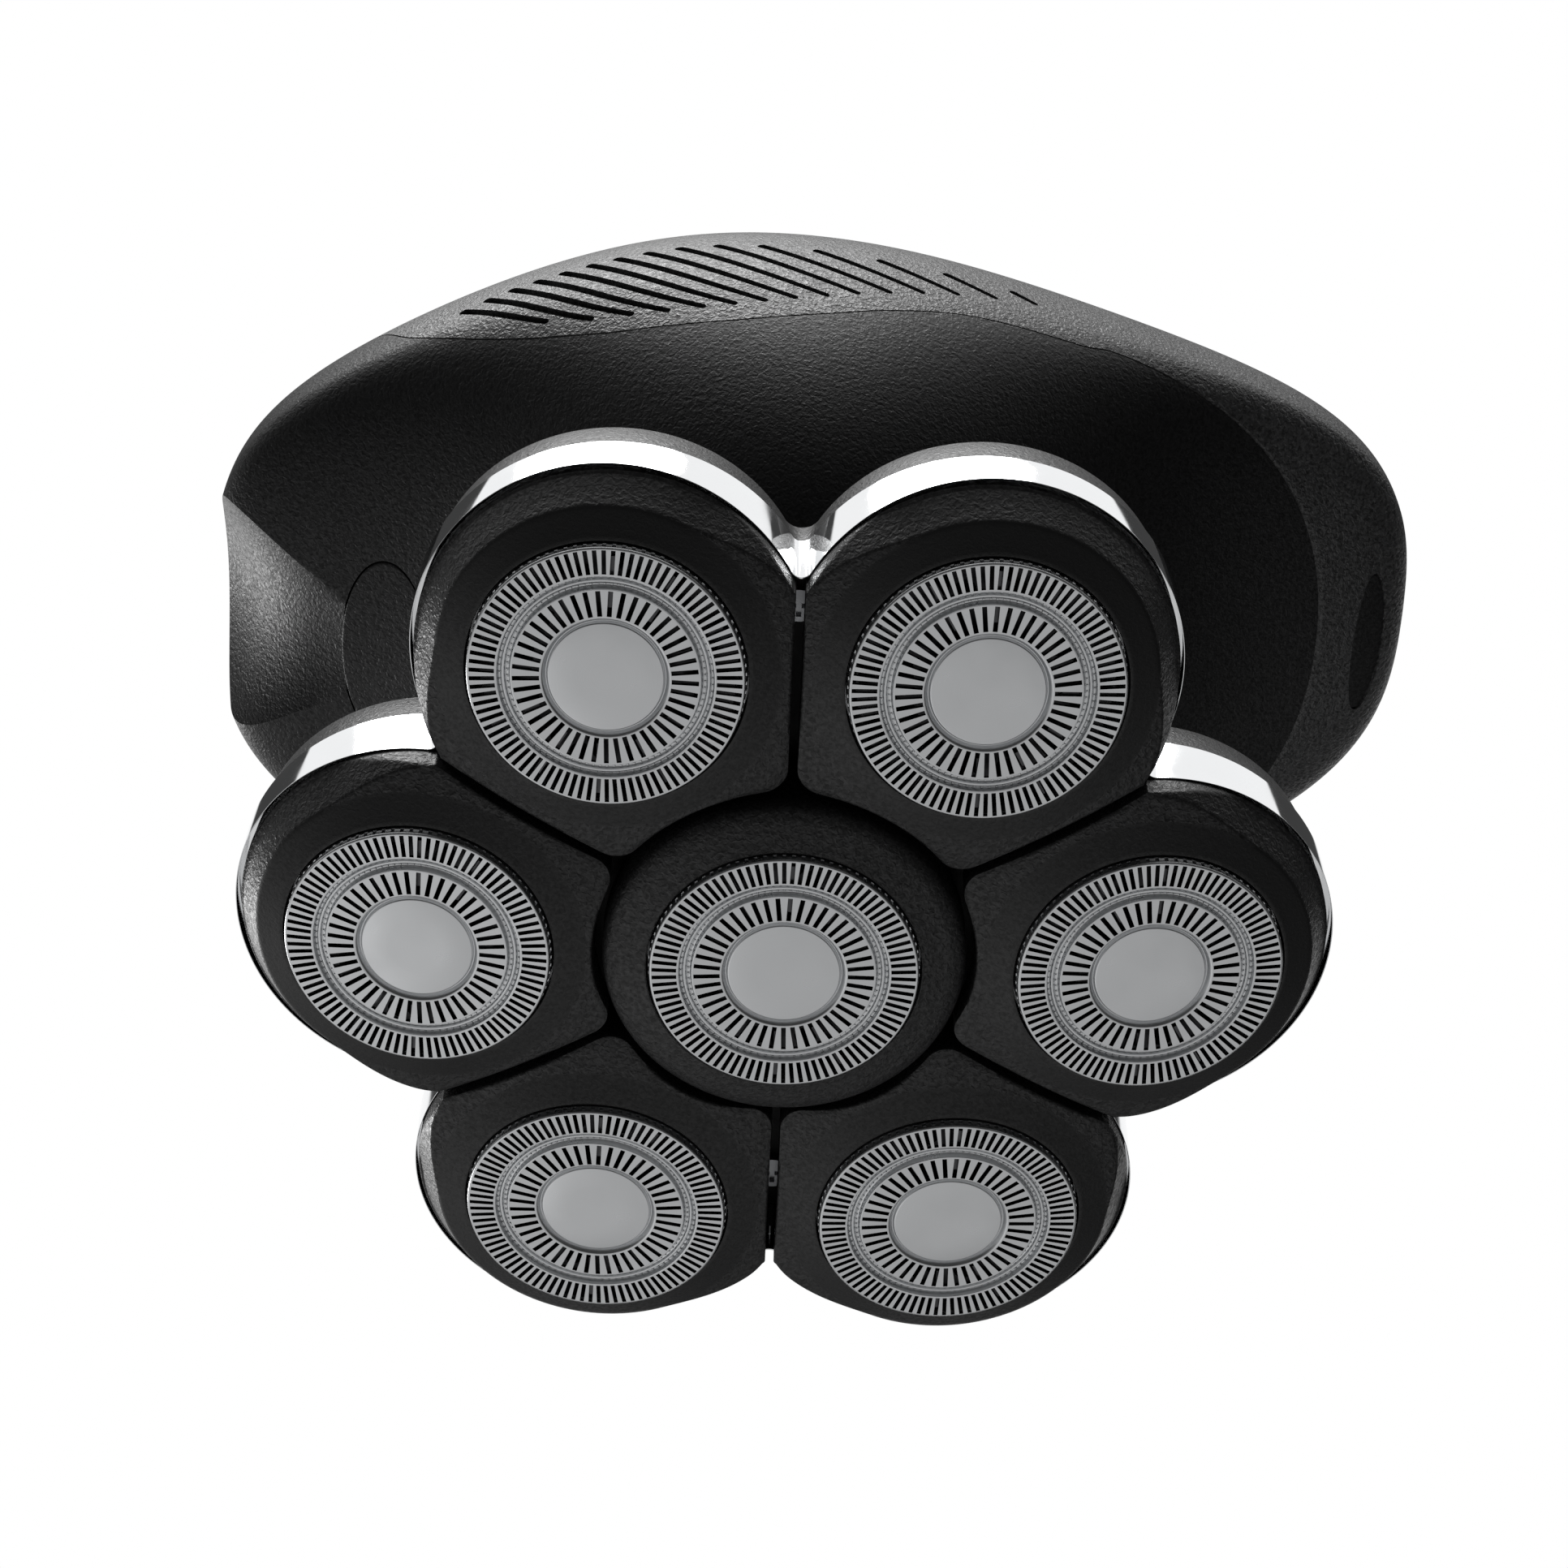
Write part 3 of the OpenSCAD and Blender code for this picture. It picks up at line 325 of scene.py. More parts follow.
PETAL = grained("petal_plastic", (0.0105, 0.0105, 0.0108), (0.013, 0.013, 0.0133), 0.42)
RECESS = grained("recess_plastic", (0.0085, 0.0085, 0.0088), (0.010, 0.010, 0.0102), 0.42,
                 size=0.3, depth=0.02, painted_grain_shading=0.3)
SHELL = grained("shell_plastic", (0.0085, 0.0085, 0.0088), (0.011, 0.011, 0.0112), 0.46,
                size=0.34, depth=0.08, specular=0.25)
# The palm cover's lighter colour and stronger grain shading are painted light, for the light that
# grazes its flank above the seam
COVER_PAINTED_LIGHT = grained("cover_plastic", (0.026, 0.026, 0.0265), (0.034, 0.034, 0.0345), 0.42,
                size=0.34, depth=0.14, specular=0.5, painted_grain_shading=0.9)
BUTTON = grained("button_plastic", (0.0085, 0.0085, 0.0088), (0.011, 0.011, 0.0112), 0.46,
                 size=0.34, depth=0.08, specular=0.25)
PLUG = grained("plug_rubber", (0.006, 0.006, 0.0062), (0.008, 0.008, 0.0082), 0.6,
               size=0.34, depth=0.08, specular=0.3)
BASE = grained("base_plastic", (0.0105, 0.0105, 0.0108), (0.013, 0.013, 0.0133), 0.42)
GUARD = steel("guard_steel", (0.62, 0.63, 0.64), 0.3, lines=0.002, spacing=0.03, round_axis=True)
# The blades are steel darkened to a painted shade, so that the guards' slots read black over them
BLADE_SHADE = steel("blade_painted_shade", (0.09, 0.09, 0.094), 0.4, lines=0.004)
PIN = steel("pin_steel", (0.55, 0.56, 0.58), 0.3)
SPRING = steel("spring_steel", (0.6, 0.6, 0.62), 0.25)
CHROME = plain("chrome_plate", (0.86, 0.87, 0.88), 0.06, 1.0, grain=260.0, depth=0.0015, vary=0.02)
PLATE = plain("plate_plastic", (0.03, 0.03, 0.031), 0.45)
RETAIN = plain("retainer_plastic", (0.03, 0.03, 0.031), 0.5)
GEARS = plain("gear_acetal", (0.7, 0.7, 0.66), 0.4, grain=600.0, depth=0.006, vary=0.05)
CELL = plain("cell_wrap", (0.03, 0.1, 0.3), 0.25, grain=400.0, vary=0.1)
BOARD = plain("board_resin", (0.01, 0.09, 0.03), 0.3, grain=1200.0, vary=0.2)
SOCKET = plain("socket_metal", (0.6, 0.61, 0.62), 0.25, 1.0)
CAN = plain("motor_can", (0.55, 0.56, 0.58), 0.3, 1.0, grain=500.0, depth=0.004, vary=0.06)
# Near-black painted shade for the guards' slot walls and undersides, where only shade falls
SLOT_SHADE = plain("slot_painted_shade", (0.03, 0.03, 0.031), 0.5, 1.0)

CAD_LOOKS = {
    "chrome_trim": CHROME, "gear_plate": PLATE, "hinge_pins": PIN, "head_screws": PIN,
    "spindle_springs": SPRING, "drive_gear": GEARS, "drive_spindle": PIN, "charging_socket": SOCKET,
    "battery": CELL, "circuit_board": BOARD, "motor": CAN, "motor_shaft": PIN,
    "motor_bracket": PLATE, "latch_collar": PLATE, "head_base": BASE, "main_shell": SHELL,
    "palm_cover": COVER_PAINTED_LIGHT, "power_button": BUTTON, "charging_plug": PLUG, "centre_ring": PETAL,
}
for k in range(7):
    CAD_LOOKS[f"blade_{k}"] = BLADE_SHADE
    CAD_LOOKS[f"retainer_{k}"] = RETAIN
    CAD_LOOKS[f"guard_{k}"] = GUARD
    if k:
        CAD_LOOKS[f"gear_{k}"] = GEARS
        CAD_LOOKS[f"spindle_{k}"] = PIN
        CAD_LOOKS[f"pod_{k}"] = PETAL
for name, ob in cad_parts.items():
    ob.data.materials.clear()
    ob.data.materials.append(CAD_LOOKS[name])

# ---- guards --------------------------------------------------------------------

# Profiles from the middle outwards, as radius and depth: the sunk cap, and the groove with
# its ridge between the tracks
CAP = ((0.0, 0.17), (2.0, 0.17), (4.05, 0.17), (4.13, 0.19), (4.18, 0.25), (4.21, 0.36),
       (4.25, 0.42), (4.31, 0.42), (4.36, 0.36), (4.46, 0.16), (4.53, 0.05), (4.59, 0.01),
       (4.66, 0.0))
MIDDLE = ((6.74, 0.0), (6.8, 0.015), (6.83, 0.06), (6.86, 0.4), (6.9, 0.46), (6.97, 0.5),
          (7.14, 0.5), (7.2, 0.46), (7.23, 0.34), (7.27, 0.27), (7.34, 0.25), (7.41, 0.27),
          (7.45, 0.34), (7.48, 0.46), (7.54, 0.5), (7.64, 0.5), (7.69, 0.46), (7.72, 0.4),
          (7.74, 0.06), (7.77, 0.015), (7.84, 0.0))
# The rim and the cup's wall, as radius, depth and how far the notches in it are sunk
RIM = ((9.78, 0.0, 0.0), (9.85, 0.01, 0.0), (9.9, 0.05, 0.0), (9.94, 0.12, 0.0), (9.95, 0.18, 0.0),
       (9.95, 0.22, 0.0), (9.96, 0.25, 0.22), (9.97, 0.6, 0.22), (10.0, 0.64, 0.0),
       (10.0, 1.0, 0.0), (10.0, 3.4, 0.0), (9.7, 3.4, 0.0), (9.7, 0.35, 0.0), (9.6, 0.3, 0.0))
RIM_NOTCHES, NOTCH_HALF = 90, 0.14
FLANGE = ((10.0, SEAT_S), (10.9, SEAT_S), (10.9, SEAT_S + 0.5), (10.0, SEAT_S + 0.5))
# The pips on the groove's floor: their rings' radius and turn, and a pip's eight corners as
# radial and tangential offset and depth
PIP_COUNT, PIP_RINGS = 90, ((7.06, 0.0), (7.6, 0.5))
PIP = ((-0.08, -0.11, 0.51), (0.08, -0.11, 0.51), (0.08, 0.11, 0.51), (-0.08, 0.11, 0.51),
       (-0.04, -0.07, 0.4), (0.04, -0.07, 0.4), (0.04, 0.07, 0.4), (-0.04, 0.07, 0.4))


def slot_ring(b, radii, n, width, bars, wall=0.3):
    """A flat track with n radial slots of parallel sides, and the slots' walls; the walls and the
    track's underside take material 1, a painted shade.

    radii are the track's inner edge, the slots' two ends and the track's outer edge; bars
    is the number of quads across the steel between two slots."""
    centre = turns(n)
    rows = []
    for r in radii:
        half = np.arcsin(width / 2 / r)
        left, right = centre - half, centre + half
        cols = [left, right]
        for i in range(1, bars):
            cols.append(right + (2 * PI / n - 2 * half) * i / bars)
        rows.append(circle(r, 0, np.stack(cols, 1).reshape(-1)))
    p = np.stack(rows)
    per = bars + 1
    keep = np.ones((3, n * per), bool)
    keep[1, ::per] = False
    b.grid(p, keep)
    for i in range(n):
        j, k = i * per, i * per + 1
        ring = np.array([p[1, j], p[1, k], p[2, k], p[2, j]])
        # The slots' walls and the track's underside take material 1, the painted shade
        b.grid(np.stack([ring, ring + [0, 0, wall]]), mark=1)
    b.grid(p + [0, 0, wall], keep, 1)


def guard_mesh():
    b = Builder()
    b.revolve(CAP, 180)
    slot_ring(b, (4.66, 4.72, 6.66, 6.74), n=45, width=0.35, bars=3)
    b.revolve(MIDDLE, 180)
    slot_ring(b, (7.84, 7.92, 9.74, 9.78), n=90, width=0.32, bars=1)
    centre = turns(RIM_NOTCHES)
    rows = []
    for r, s, dent in RIM:
        half = NOTCH_HALF / r
        cols = [(centre - half, r), (centre - half * 0.86, r - dent),
                (centre + half * 0.86, r - dent), (centre + half, r)]
        a = np.stack([c[0] for c in cols], 1).reshape(-1)
        q = np.stack([0 * centre + c[1] for c in cols], 1).reshape(-1)
        rows.append(circle(q, s, a))
    b.grid(np.stack(rows))
    for ring_r, turn in PIP_RINGS:
        for i in range(PIP_COUNT):
            a = (i + turn) * 2 * PI / PIP_COUNT
            c, s = math.cos(a), math.sin(a)
            pts = [((ring_r + dr) * c - dt * s, (ring_r + dr) * s + dt * c, z) for dr, dt, z in PIP]
            b.add(pts, [(0, 1, 5, 4), (1, 2, 6, 5), (2, 3, 7, 6), (3, 0, 4, 7), (4, 5, 6, 7)])
    b.revolve(FLANGE, 120, closed=True)
    return b.mesh("guard", 40)


guard = guard_mesh()
for k in range(7):
    ob = put(f"guard_skin_{k}", guard, [GUARD, SLOT_SHADE], cutter_matrix(k))
    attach(ob, "centre_pod" if k == 0 else f"petal_{k}")
    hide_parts(f"guard_{k}")

# ---- flower outlines ----------------------------------------------------------

def flower_reach(a, r, x, rho):
    """Distance from the drive axis to a flower's outline in direction a.

    The lobes have radius r round centres at x; the notches between them have radius rho."""
    f = x * math.cos(PI / 6) + np.sqrt((r + rho) ** 2 - (x * 0.5) ** 2)
    cx, cy = x * math.cos(PI / 6), x * 0.5
    tx, ty = cx + (f - cx) * r / (r + rho), cy - cy * r / (r + rho)
    turn = np.arctan2(ty, tx)
    b = np.abs((a + PI / 6) % (PI / 3) - PI / 6)
    d = PI / 6 - b
    notch = f * np.cos(d) - np.sqrt(np.maximum(0, rho ** 2 - (f * np.sin(d)) ** 2))
    lobe = x * np.cos(b) + np.sqrt(np.maximum(0, r ** 2 - (x * np.sin(b)) ** 2))
    return np.where(d < turn, notch, lobe)


def flower_angles():
    """Directions of the outline's points, closest together at the notches."""
    half = np.concatenate([np.linspace(0, 26, 40), np.linspace(26.2, 30, 34)[:-1]])
    one = np.concatenate([-half[:0:-1], half])
    return np.radians(np.concatenate([one + 60 * k for k in range(6)]))


FLOWER = flower_angles()


def flower_loop(r, inset, z, lobe=LOBE_X):
    """Points of the outline drawn inwards by inset, at height z, which may depend on x and y."""
    d = flower_reach(FLOWER, r - inset, lobe, NOTCH + inset)
    x, y = d * np.cos(FLOWER), d * np.sin(FLOWER)
    return np.stack([x, y, z(x, y) if callable(z) else 0 * x + z], 1)


def trim_front(extra=0.0):
    """Height of the trim's front edge, in the plane behind each leaning guard."""
    def z(x, y):
        a = np.arctan2(y, x)
        b = (a + PI / 6) % (PI / 3) - PI / 6
        out = np.hypot(x, y) * np.cos(b)
        return DROP + (CHROME_S + extra) / math.cos(TILT) + (out - PITCH) * math.tan(TILT)
    return z


# The trim's thin front lip follows the petals' outline at a small gap: how much wider than
# their lobes it is, and its depth past the trim's front edge, below 0 where it is in front
LIP = ((0.12, -1.85), (0.115, -1.89), (0.09, -1.9), (0.06, -1.89), (0.05, -1.85), (0.05, -0.02))
b = Builder()
b.loft([flower_loop(CHROME_R, 0, BASE_Z)]
       + [flower_loop(PETAL_R + out, 0, trim_front(extra), LIP_X) for out, extra in LIP]
       + [flower_loop(CHROME_R, 0.5, trim_front()), flower_loop(CHROME_R, 1.1, trim_front()),
          flower_loop(CHROME_R, CHROME_WALL, trim_front(0.1)),
          flower_loop(CHROME_R, CHROME_WALL, BASE_Z)], caps=False)
b.grid(np.stack([flower_loop(CHROME_R, CHROME_WALL, BASE_Z), flower_loop(CHROME_R, 0, BASE_Z)]))
trim = put("chrome_trim_band", b.mesh("chrome_trim_band", 30), [CHROME])
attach(trim, "head")
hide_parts("chrome_trim")

# The base from the inside of its floor over the rim and the neck, as inset or radius and height
BASE_STEPS = ((BASE_WALL, FLOOR_Z), (BASE_WALL, BASE_Z), (0.02, BASE_Z), (0.02, BASE_Z + 0.05),
              (BASE_DRAFT * 0.5, (BASE_Z + BASE_TOP) / 2), (BASE_DRAFT - 0.04, BASE_TOP - 0.2),
              (BASE_DRAFT + 0.02, BASE_TOP - 0.07), (BASE_DRAFT + 0.2, BASE_TOP))
NECK_STEPS = ((NECK_R + 0.5, BASE_TOP), (NECK_R + 0.15, BASE_TOP + 0.12), (NECK_R, BASE_TOP + 0.5),
              (NECK_R, NECK_TOP - 0.4), (NECK_R - 0.12, NECK_TOP - 0.12), (NECK_R - 0.4, NECK_TOP),
              (NECK_HOLE_R + 0.2, NECK_TOP), (NECK_HOLE_R, NECK_TOP - 0.2), (NECK_HOLE_R, FLOOR_Z))
b = Builder()
b.loft([flower_loop(BASE_R, inset, z) for inset, z in BASE_STEPS]
       + [circle(r, z, FLOWER) for r, z in NECK_STEPS]
       + [flower_loop(BASE_R, BASE_WALL, FLOOR_Z)], caps=False)
base = put("head_base_body", b.mesh("head_base_body", 30), [BASE])
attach(base, "head")
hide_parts("head_base")

# ---- petals and centre ring -----------------------------------------------------

def leaned(x, s):
    """x and z in the shared frame of a place x, s in the frame of the guard on the +X side."""
    return (PITCH + x * math.cos(TILT) - s * math.sin(TILT),
            DROP + x * math.sin(TILT) + s * math.cos(TILT))


def petal_inside(x, y):
    """Whether a point lies in the outline of the petal that points along +X."""
    half, inner, round_r = PETAL_GAP / 2, PETAL_IN, PETAL_CORNER
    y = np.abs(y)
    ok = np.hypot(x, y) < flower_reach(np.arctan2(y, x), PETAL_R, PETAL_X, NOTCH - 0.2)
    ok &= x * 0.5 - y * math.cos(PI / 6) > half
    ok &= np.hypot(x, y) > inner
    reach = inner + round_r
    a = PI / 6 - math.asin((round_r + half) / reach)
    c = np.array([reach * math.cos(a), reach * math.sin(a)])
    t1 = np.array([inner * math.cos(a), inner * math.sin(a)])
    t2 = c + round_r * np.array([-0.5, math.cos(PI / 6)])
    side1 = (x - c[0]) * (t1[1] - c[1]) - (y - c[1]) * (t1[0] - c[0]) > 0
    side2 = (x - c[0]) * (t2[1] - c[1]) - (y - c[1]) * (t2[0] - c[0]) < 0
    ok &= ~(side1 & side2 & (np.hypot(x - c[0], y - c[1]) > round_r))
    return ok


def lugs():
    """The petal's two hinge lugs, in its guard's frame."""
    r, hole, axis_s, foot_s, bridge_s = 1.5, 0.85, 7.2, 5.0, 6.2
    b = Builder()
    for side in (-1, 1):
        y0, y1 = sorted((11.7 * side, 12.9 * side))
        b.tube(r, hole, y0, y1, (0, axis_s))
        b.box((-r, y0, foot_s), (-0.87, y1, axis_s))
        b.box((0.87, y0, foot_s), (r, y1, axis_s))
        b.box((-r, y0, foot_s), (r, y1, bridge_s))
    return b


def petal_mesh(turn):
    """The petal that points along +X, turned about the drive axis."""
    n, fillet = 900, 0.12
    th = turns(n)
    nx, nz = -math.sin(TILT), math.cos(TILT)

    def place(r, s):
        x, z = leaned(r * np.cos(th), s)
        return x, r * np.sin(th), z

    reach = bisect(lambda r: petal_inside(*place(r, SEAT_S)[:2]), 0 * th + 10.6, 0 * th + 16.5)
    slope = np.gradient(np.concatenate([reach[-1:], reach, reach[:1]]))[1:-1] / (2 * PI / n)
    face = np.clip(reach / np.sqrt(reach ** 2 + slope ** 2), 0.3, 1)
    bowl = np.minimum(BOWL_R, reach - 0.5)
    # The steep flank runs round the outer side only and dies out at the notches
    fade = np.clip((np.abs((th + PI) % (2 * PI) - PI) - 0.95) / 0.7, 0, 1)
    fade = fade * fade * (3 - 2 * fade)
    crease = bowl + (reach - 0.03 - bowl) * fade

    def depth(r):
        level = np.minimum(r, crease)
        cone = (FACE_S + (np.minimum(level, BOWL_R) - BORE_R) / BOWL_RUN
                + np.maximum(0, level - BOWL_R) * SHELF_SLOPE)
        past = np.maximum(0, r - crease)
        flank = np.where(past < FLANK_BEND, past * FLANK_SLOPE,
                         FLANK_BEND * FLANK_SLOPE + (past - FLANK_BEND) * FLANK_END_SLOPE)
        near = np.clip((r - crease + 0.12) / 0.24, 0, 1)
        soft = 0.02 * (1 - np.abs(2 * near - 1))
        return cone + flank + soft

    def row(r, extra=0.0):
        d = (reach - r) * face
        drop = np.where(d < fillet,
                        fillet - np.sqrt(np.maximum(0, fillet ** 2 - (fillet - d) ** 2)), 0)
        return np.stack(place(r, depth(r) + drop + extra), 1)

    bore = BORE_R + 0 * th
    rows = [np.stack(place(bore, SEAT_S), 1), row(bore, 0.15), row(bore + 0.04, 0.04),
            row(FACE_R + 0 * th)]
    for t in np.linspace(0, 1, 10)[1:]:
        rows.append(row(FACE_R + (bowl - FACE_R) * t))
    recess_end = len(rows)
    for t in np.linspace(0, 1, 8)[1:]:
        rows.append(row(bowl + (crease - bowl) * t))
    for t in np.concatenate([np.linspace(0, 0.75, 12)[1:], np.linspace(0.75, 1, 16)[1:]]):
        rows.append(row(crease + (reach - crease) * t))
    last = rows[-1]
    back = last.copy()
    back[:, 2] = (PETAL_BACK + nx * PITCH + nz * DROP - nx * back[:, 0]) / nz
    rows.append(last + (back - last) * 0.5)
    rows.append(back)
    rows.append(np.stack(place(SEAT_R + 0 * th, PETAL_BACK), 1))
    rows.append(np.stack(place(SEAT_R + 0 * th, SEAT_S), 1))
    rows.append(rows[0])
    b = Builder()
    b.grid(np.stack(rows[:recess_end]), mark=1)
    b.grid(np.stack(rows[recess_end - 1:]))
    lug = lugs()
    q = np.concatenate(lug.points)
    x, z = leaned(q[:, 0], q[:, 2])
    b.add(np.stack([x, q[:, 1], z], 1), lug.faces)
    c, s = math.cos(turn), math.sin(turn)
    b.points = [p @ column([[c, s, 0], [-s, c, 0], [0, 0, 1]]) for p in b.points]
    return b.mesh("petal", 36)


# Three petals, and the same three turned by half a turn
petals = [petal_mesh(math.radians(60 * k)) for k in range(3)]
for k in range(1, 7):
    half_turn = Matrix.Rotation(PI if k > 3 else 0, 4, "Z")
    ob = put(f"petal_{k}", petals[(k - 1) % 3], [PETAL, RECESS], half_turn)
    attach(ob, f"petal_{k}")
    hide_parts(f"pod_{k}")

# The centre ring's profile, as radius and depth
b = Builder()
ring = [(BORE_R, SEAT_S), (BORE_R, 0.64), (BORE_R + 0.04, 0.54), (FACE_R, 0.5)]
ring += [(FACE_R + 2.0 * t, 0.5 + 0.68 * t) for t in np.linspace(0, 1, 8)[1:]]
ring += [(12.42, 1.23), (12.56, 1.3), (12.8, 1.42), (13.05, 1.58), (13.22, 1.75), (13.34, 1.95),
         (13.43, 2.25), (13.48, 2.6), (13.5, 3.0), (13.5, PETAL_BACK), (SEAT_R, PETAL_BACK),
         (SEAT_R, SEAT_S)]
b.revolve(ring, 256, closed=True)
ob = put("centre_ring_body", b.mesh("centre_ring_body", 36), [PETAL])
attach(ob, "centre_pod")
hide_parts("centre_ring")

# ---- handle -------------------------------------------------------------------
# Its width, its waist and its depth below the waist are formulas fitted to the photograph.

def ends(x):
    """How the handle closes towards its two ends, from 1 in the middle to almost 0."""
    t = (x - MID_X) / HALF_LEN
    p = np.where(t < 0, 3.4, 2.85)
    return np.maximum(1e-4, 1 - np.minimum(1, np.abs(t)) ** p) ** (1 / p)


def half_width(x):
    return (23.2 + 10.8 * np.exp(-((x + 5.2) / 33.8) ** 2) + 0.028 * (x - MID_X)) * ends(x)


def waist(x):
    """Height of the widest line of the handle."""
    return 53.3 + 0.062 * (x - MID_X) + 3.9 * ((x - MID_X) / HALF_LEN) ** 2


def over(x):
    """Height of the handle above its waist."""
    return half_width(x) * DOME


def under(x):
    """Depth of the handle below its waist."""
    return (6.1 + 28 * np.exp(-(x / 22) ** 2)) * ends(x)


def skin(x, a, w):
    """Points of the handle's skin, drawn inwards by w, at x and round it in direction a."""
    e = 2 / POWER
    hw, up, dn = (np.maximum(0.02, size - w) for size in (half_width(x), over(x), under(x)))
    c, s = np.cos(a), np.sin(a)
    y = hw * np.sign(c) * np.abs(c) ** e
    z = waist(x) + np.where(s > 0, up, dn) * np.sign(s) * np.abs(s) ** e
    return np.stack(np.broadcast_arrays(x, y, z), -1)


def skin_level(p):
    """Below 1 inside the skin, above 1 outside it."""
    x, y, z = p[..., 0], p[..., 1], p[..., 2]
    v = z - waist(x)
    h = np.where(v > 0, over(x), under(x))
    f = (np.abs(y) / half_width(x)) ** POWER + (np.abs(v) / h) ** POWER
    return np.where(np.abs(x - MID_X) >= HALF_LEN, 9.0, f)


def flank(x, z):
    """The skin's distance from the middle plane at x, z."""
    v = (z - waist(x)) / np.where(z > waist(x), over(x), under(x))
    return half_width(x) * np.maximum(0, 1 - np.abs(v) ** POWER) ** (1 / POWER)


def skin_normal(p):
    e = 0.01
    g = np.stack([skin_level(p + d) - skin_level(p - d) for d in np.eye(3) * e], -1)
    return g / np.linalg.norm(g, axis=-1, keepdims=True)


def hit(p, d):
    """Where rays from p, inside the skin, in direction d leave it."""
    zero, far = np.zeros(len(p)), 20.0
    return p + d * bisect(lambda t: skin_level(p + d * t[:, None]) < 1, zero, zero + far)[:, None]


def solid(name, loops, merge=0.002):
    """A closed loft as an object, to cut with or to be cut."""
    b = Builder()
    b.loft(loops)
    return put(name, b.mesh(name, 60, merge), [SHELL])


def handle_solid(nx, na, w, name):
    """The handle's skin, drawn inwards by w, with nx steps along it and na round it."""
    last = 88.9
    x = MID_X + (HALF_LEN - w) * np.sin(np.radians(-last + 2 * last * np.arange(nx + 1) / nx))
    a = 2 * PI * (np.arange(na) + 0.5) / na
    return solid(name, list(skin(x[:, None], a[None, :], w)))


def prism(name, outline, low, high, to_frame):
    """Extruded outline of u, v points, from w = low to high; to_frame maps u, v, w columns."""
    q = column(outline)
    return solid(name, [to_frame(q[:, 0], q[:, 1], 0 * q[:, 0] + w) for w in (low, high)], 0.0001)


# The seam between main shell and palm cover, seen from the side, as x and z
SEAM = column([[-43, 90], [-41, 72], [-38, 63], [-35.2, 58.8], [-34, 56.5], [-32.9, 54.4],
               [-31.8, 52.9], [-30.4, 51.7], [-27.8, 50.1], [-25.2, 48.7], [-22.7, 47.5],
               [-20.2, 46.4], [-14, 44.3], [-6, 43.6], [1, 45], [7.1, 47.5], [13.6, 50],
               [22.5, 51.8], [27.4, 53.1], [45.5, 54.1], [70, 54.1]])
SEAM_CLOSE = [[75, 54.1], [75, 95]]


def smooth_line(p, per=8):
    """A rounded line through the points."""
    q = np.vstack([2 * p[0] - p[1], p, 2 * p[-1] - p[-2]])
    out = []
    for i in range(1, len(q) - 2):
        a, b, c, d = q[i - 1:i + 3]
        for t in np.arange(per) / per:
            out.append(0.5 * (2 * b + (c - a) * t + (2 * a - 5 * b + 4 * c - d) * t ** 2
                              + (3 * b - a - 3 * c + d) * t ** 3))
    out.append(p[-1])
    return column(out)


def above_seam(shift):
    """All that lies above the seam, moved by shift at right angles to it."""
    line = smooth_line(SEAM)
    step = np.gradient(line, axis=0)
    side = np.stack([-step[:, 1], step[:, 0]], 1) / np.linalg.norm(step, axis=1)[:, None]
    return prism("seam", np.vstack([line + side * shift, SEAM_CLOSE]), -55, 55,
                 lambda u, v, w: np.stack([u, w, v], 1))


def thumb_solid(grow):
    """The thumb hollow's bent round bar, thicker by grow."""
    r, turn = 22.0, 18.0
    steep, low = math.radians(60), math.radians(32)
    top = column([-46.0, 55.0])
    mid = top + turn * column([math.sin(steep), math.cos(steep)])
    stops = [(steep, -14.0)]
    stops += [(steep + (low - steep) * i / 12, 0.0) for i in range(13)]
    stops += [(low, 16.0)]
    t = turns(256)
    q = r + grow
    loops = []
    for a, s in stops:
        out = column([-math.sin(a), -math.cos(a)])
        c = mid + (turn + r) * out + s * column([math.cos(a), -math.sin(a)])
        loops.append(np.stack([c[0] - q * np.cos(t) * out[0], q * np.sin(t),
                               c[1] - q * np.cos(t) * out[1]], 1))
    return solid("thumb_cut", loops)


# Ends of the grip grooves on the flank, as upper x, z and lower x, z
GROOVES = ((-28.0, 54.3, -20.5, 48.0), (-26.1, 55.0, -16.8, 46.6), (-24.1, 55.4, -13.6, 45.9),
           (-22.1, 55.6, -10.7, 45.5), (-20.0, 55.8, -7.9, 45.5), (-17.8, 56.0, -5.4, 45.7),
           (-15.6, 56.2, -3.0, 46.2), (-13.2, 56.4, -0.6, 46.9), (-10.6, 56.6, 1.9, 47.8),
           (-7.5, 56.6, 4.4, 48.9), (-3.9, 56.5, 7.0, 50.1), (0.6, 56.3, 9.7, 51.4),
           (5.8, 56.2, 12.6, 52.8), (11.3, 56.6, 15.8, 54.3), (16.9, 57.1, 19.2, 55.8))
GROOVE_HALF, GROOVE_DEPTH, GROOVE_OUT, GROOVE_SAG = 0.3, 0.6, 0.5, 0.011


def groove_line(groove, u, side):
    """Points on the flank at the distances u along a groove's sagging middle line."""
    x0, z0, x1, z1 = groove
    top, low = column([x0, z0]), column([x1, z1])
    sag = GROOVE_SAG * (z0 - z1) ** 2
    long = np.linalg.norm(low - top)
    q = top[None, :] + (low - top)[None, :] / long * u[:, None]
    q[:, 1] -= sag * 4 * u / long * (1 - u / long)
    return np.stack([q[:, 0], side * flank(q[:, 0], q[:, 1]), q[:, 1]], 1)


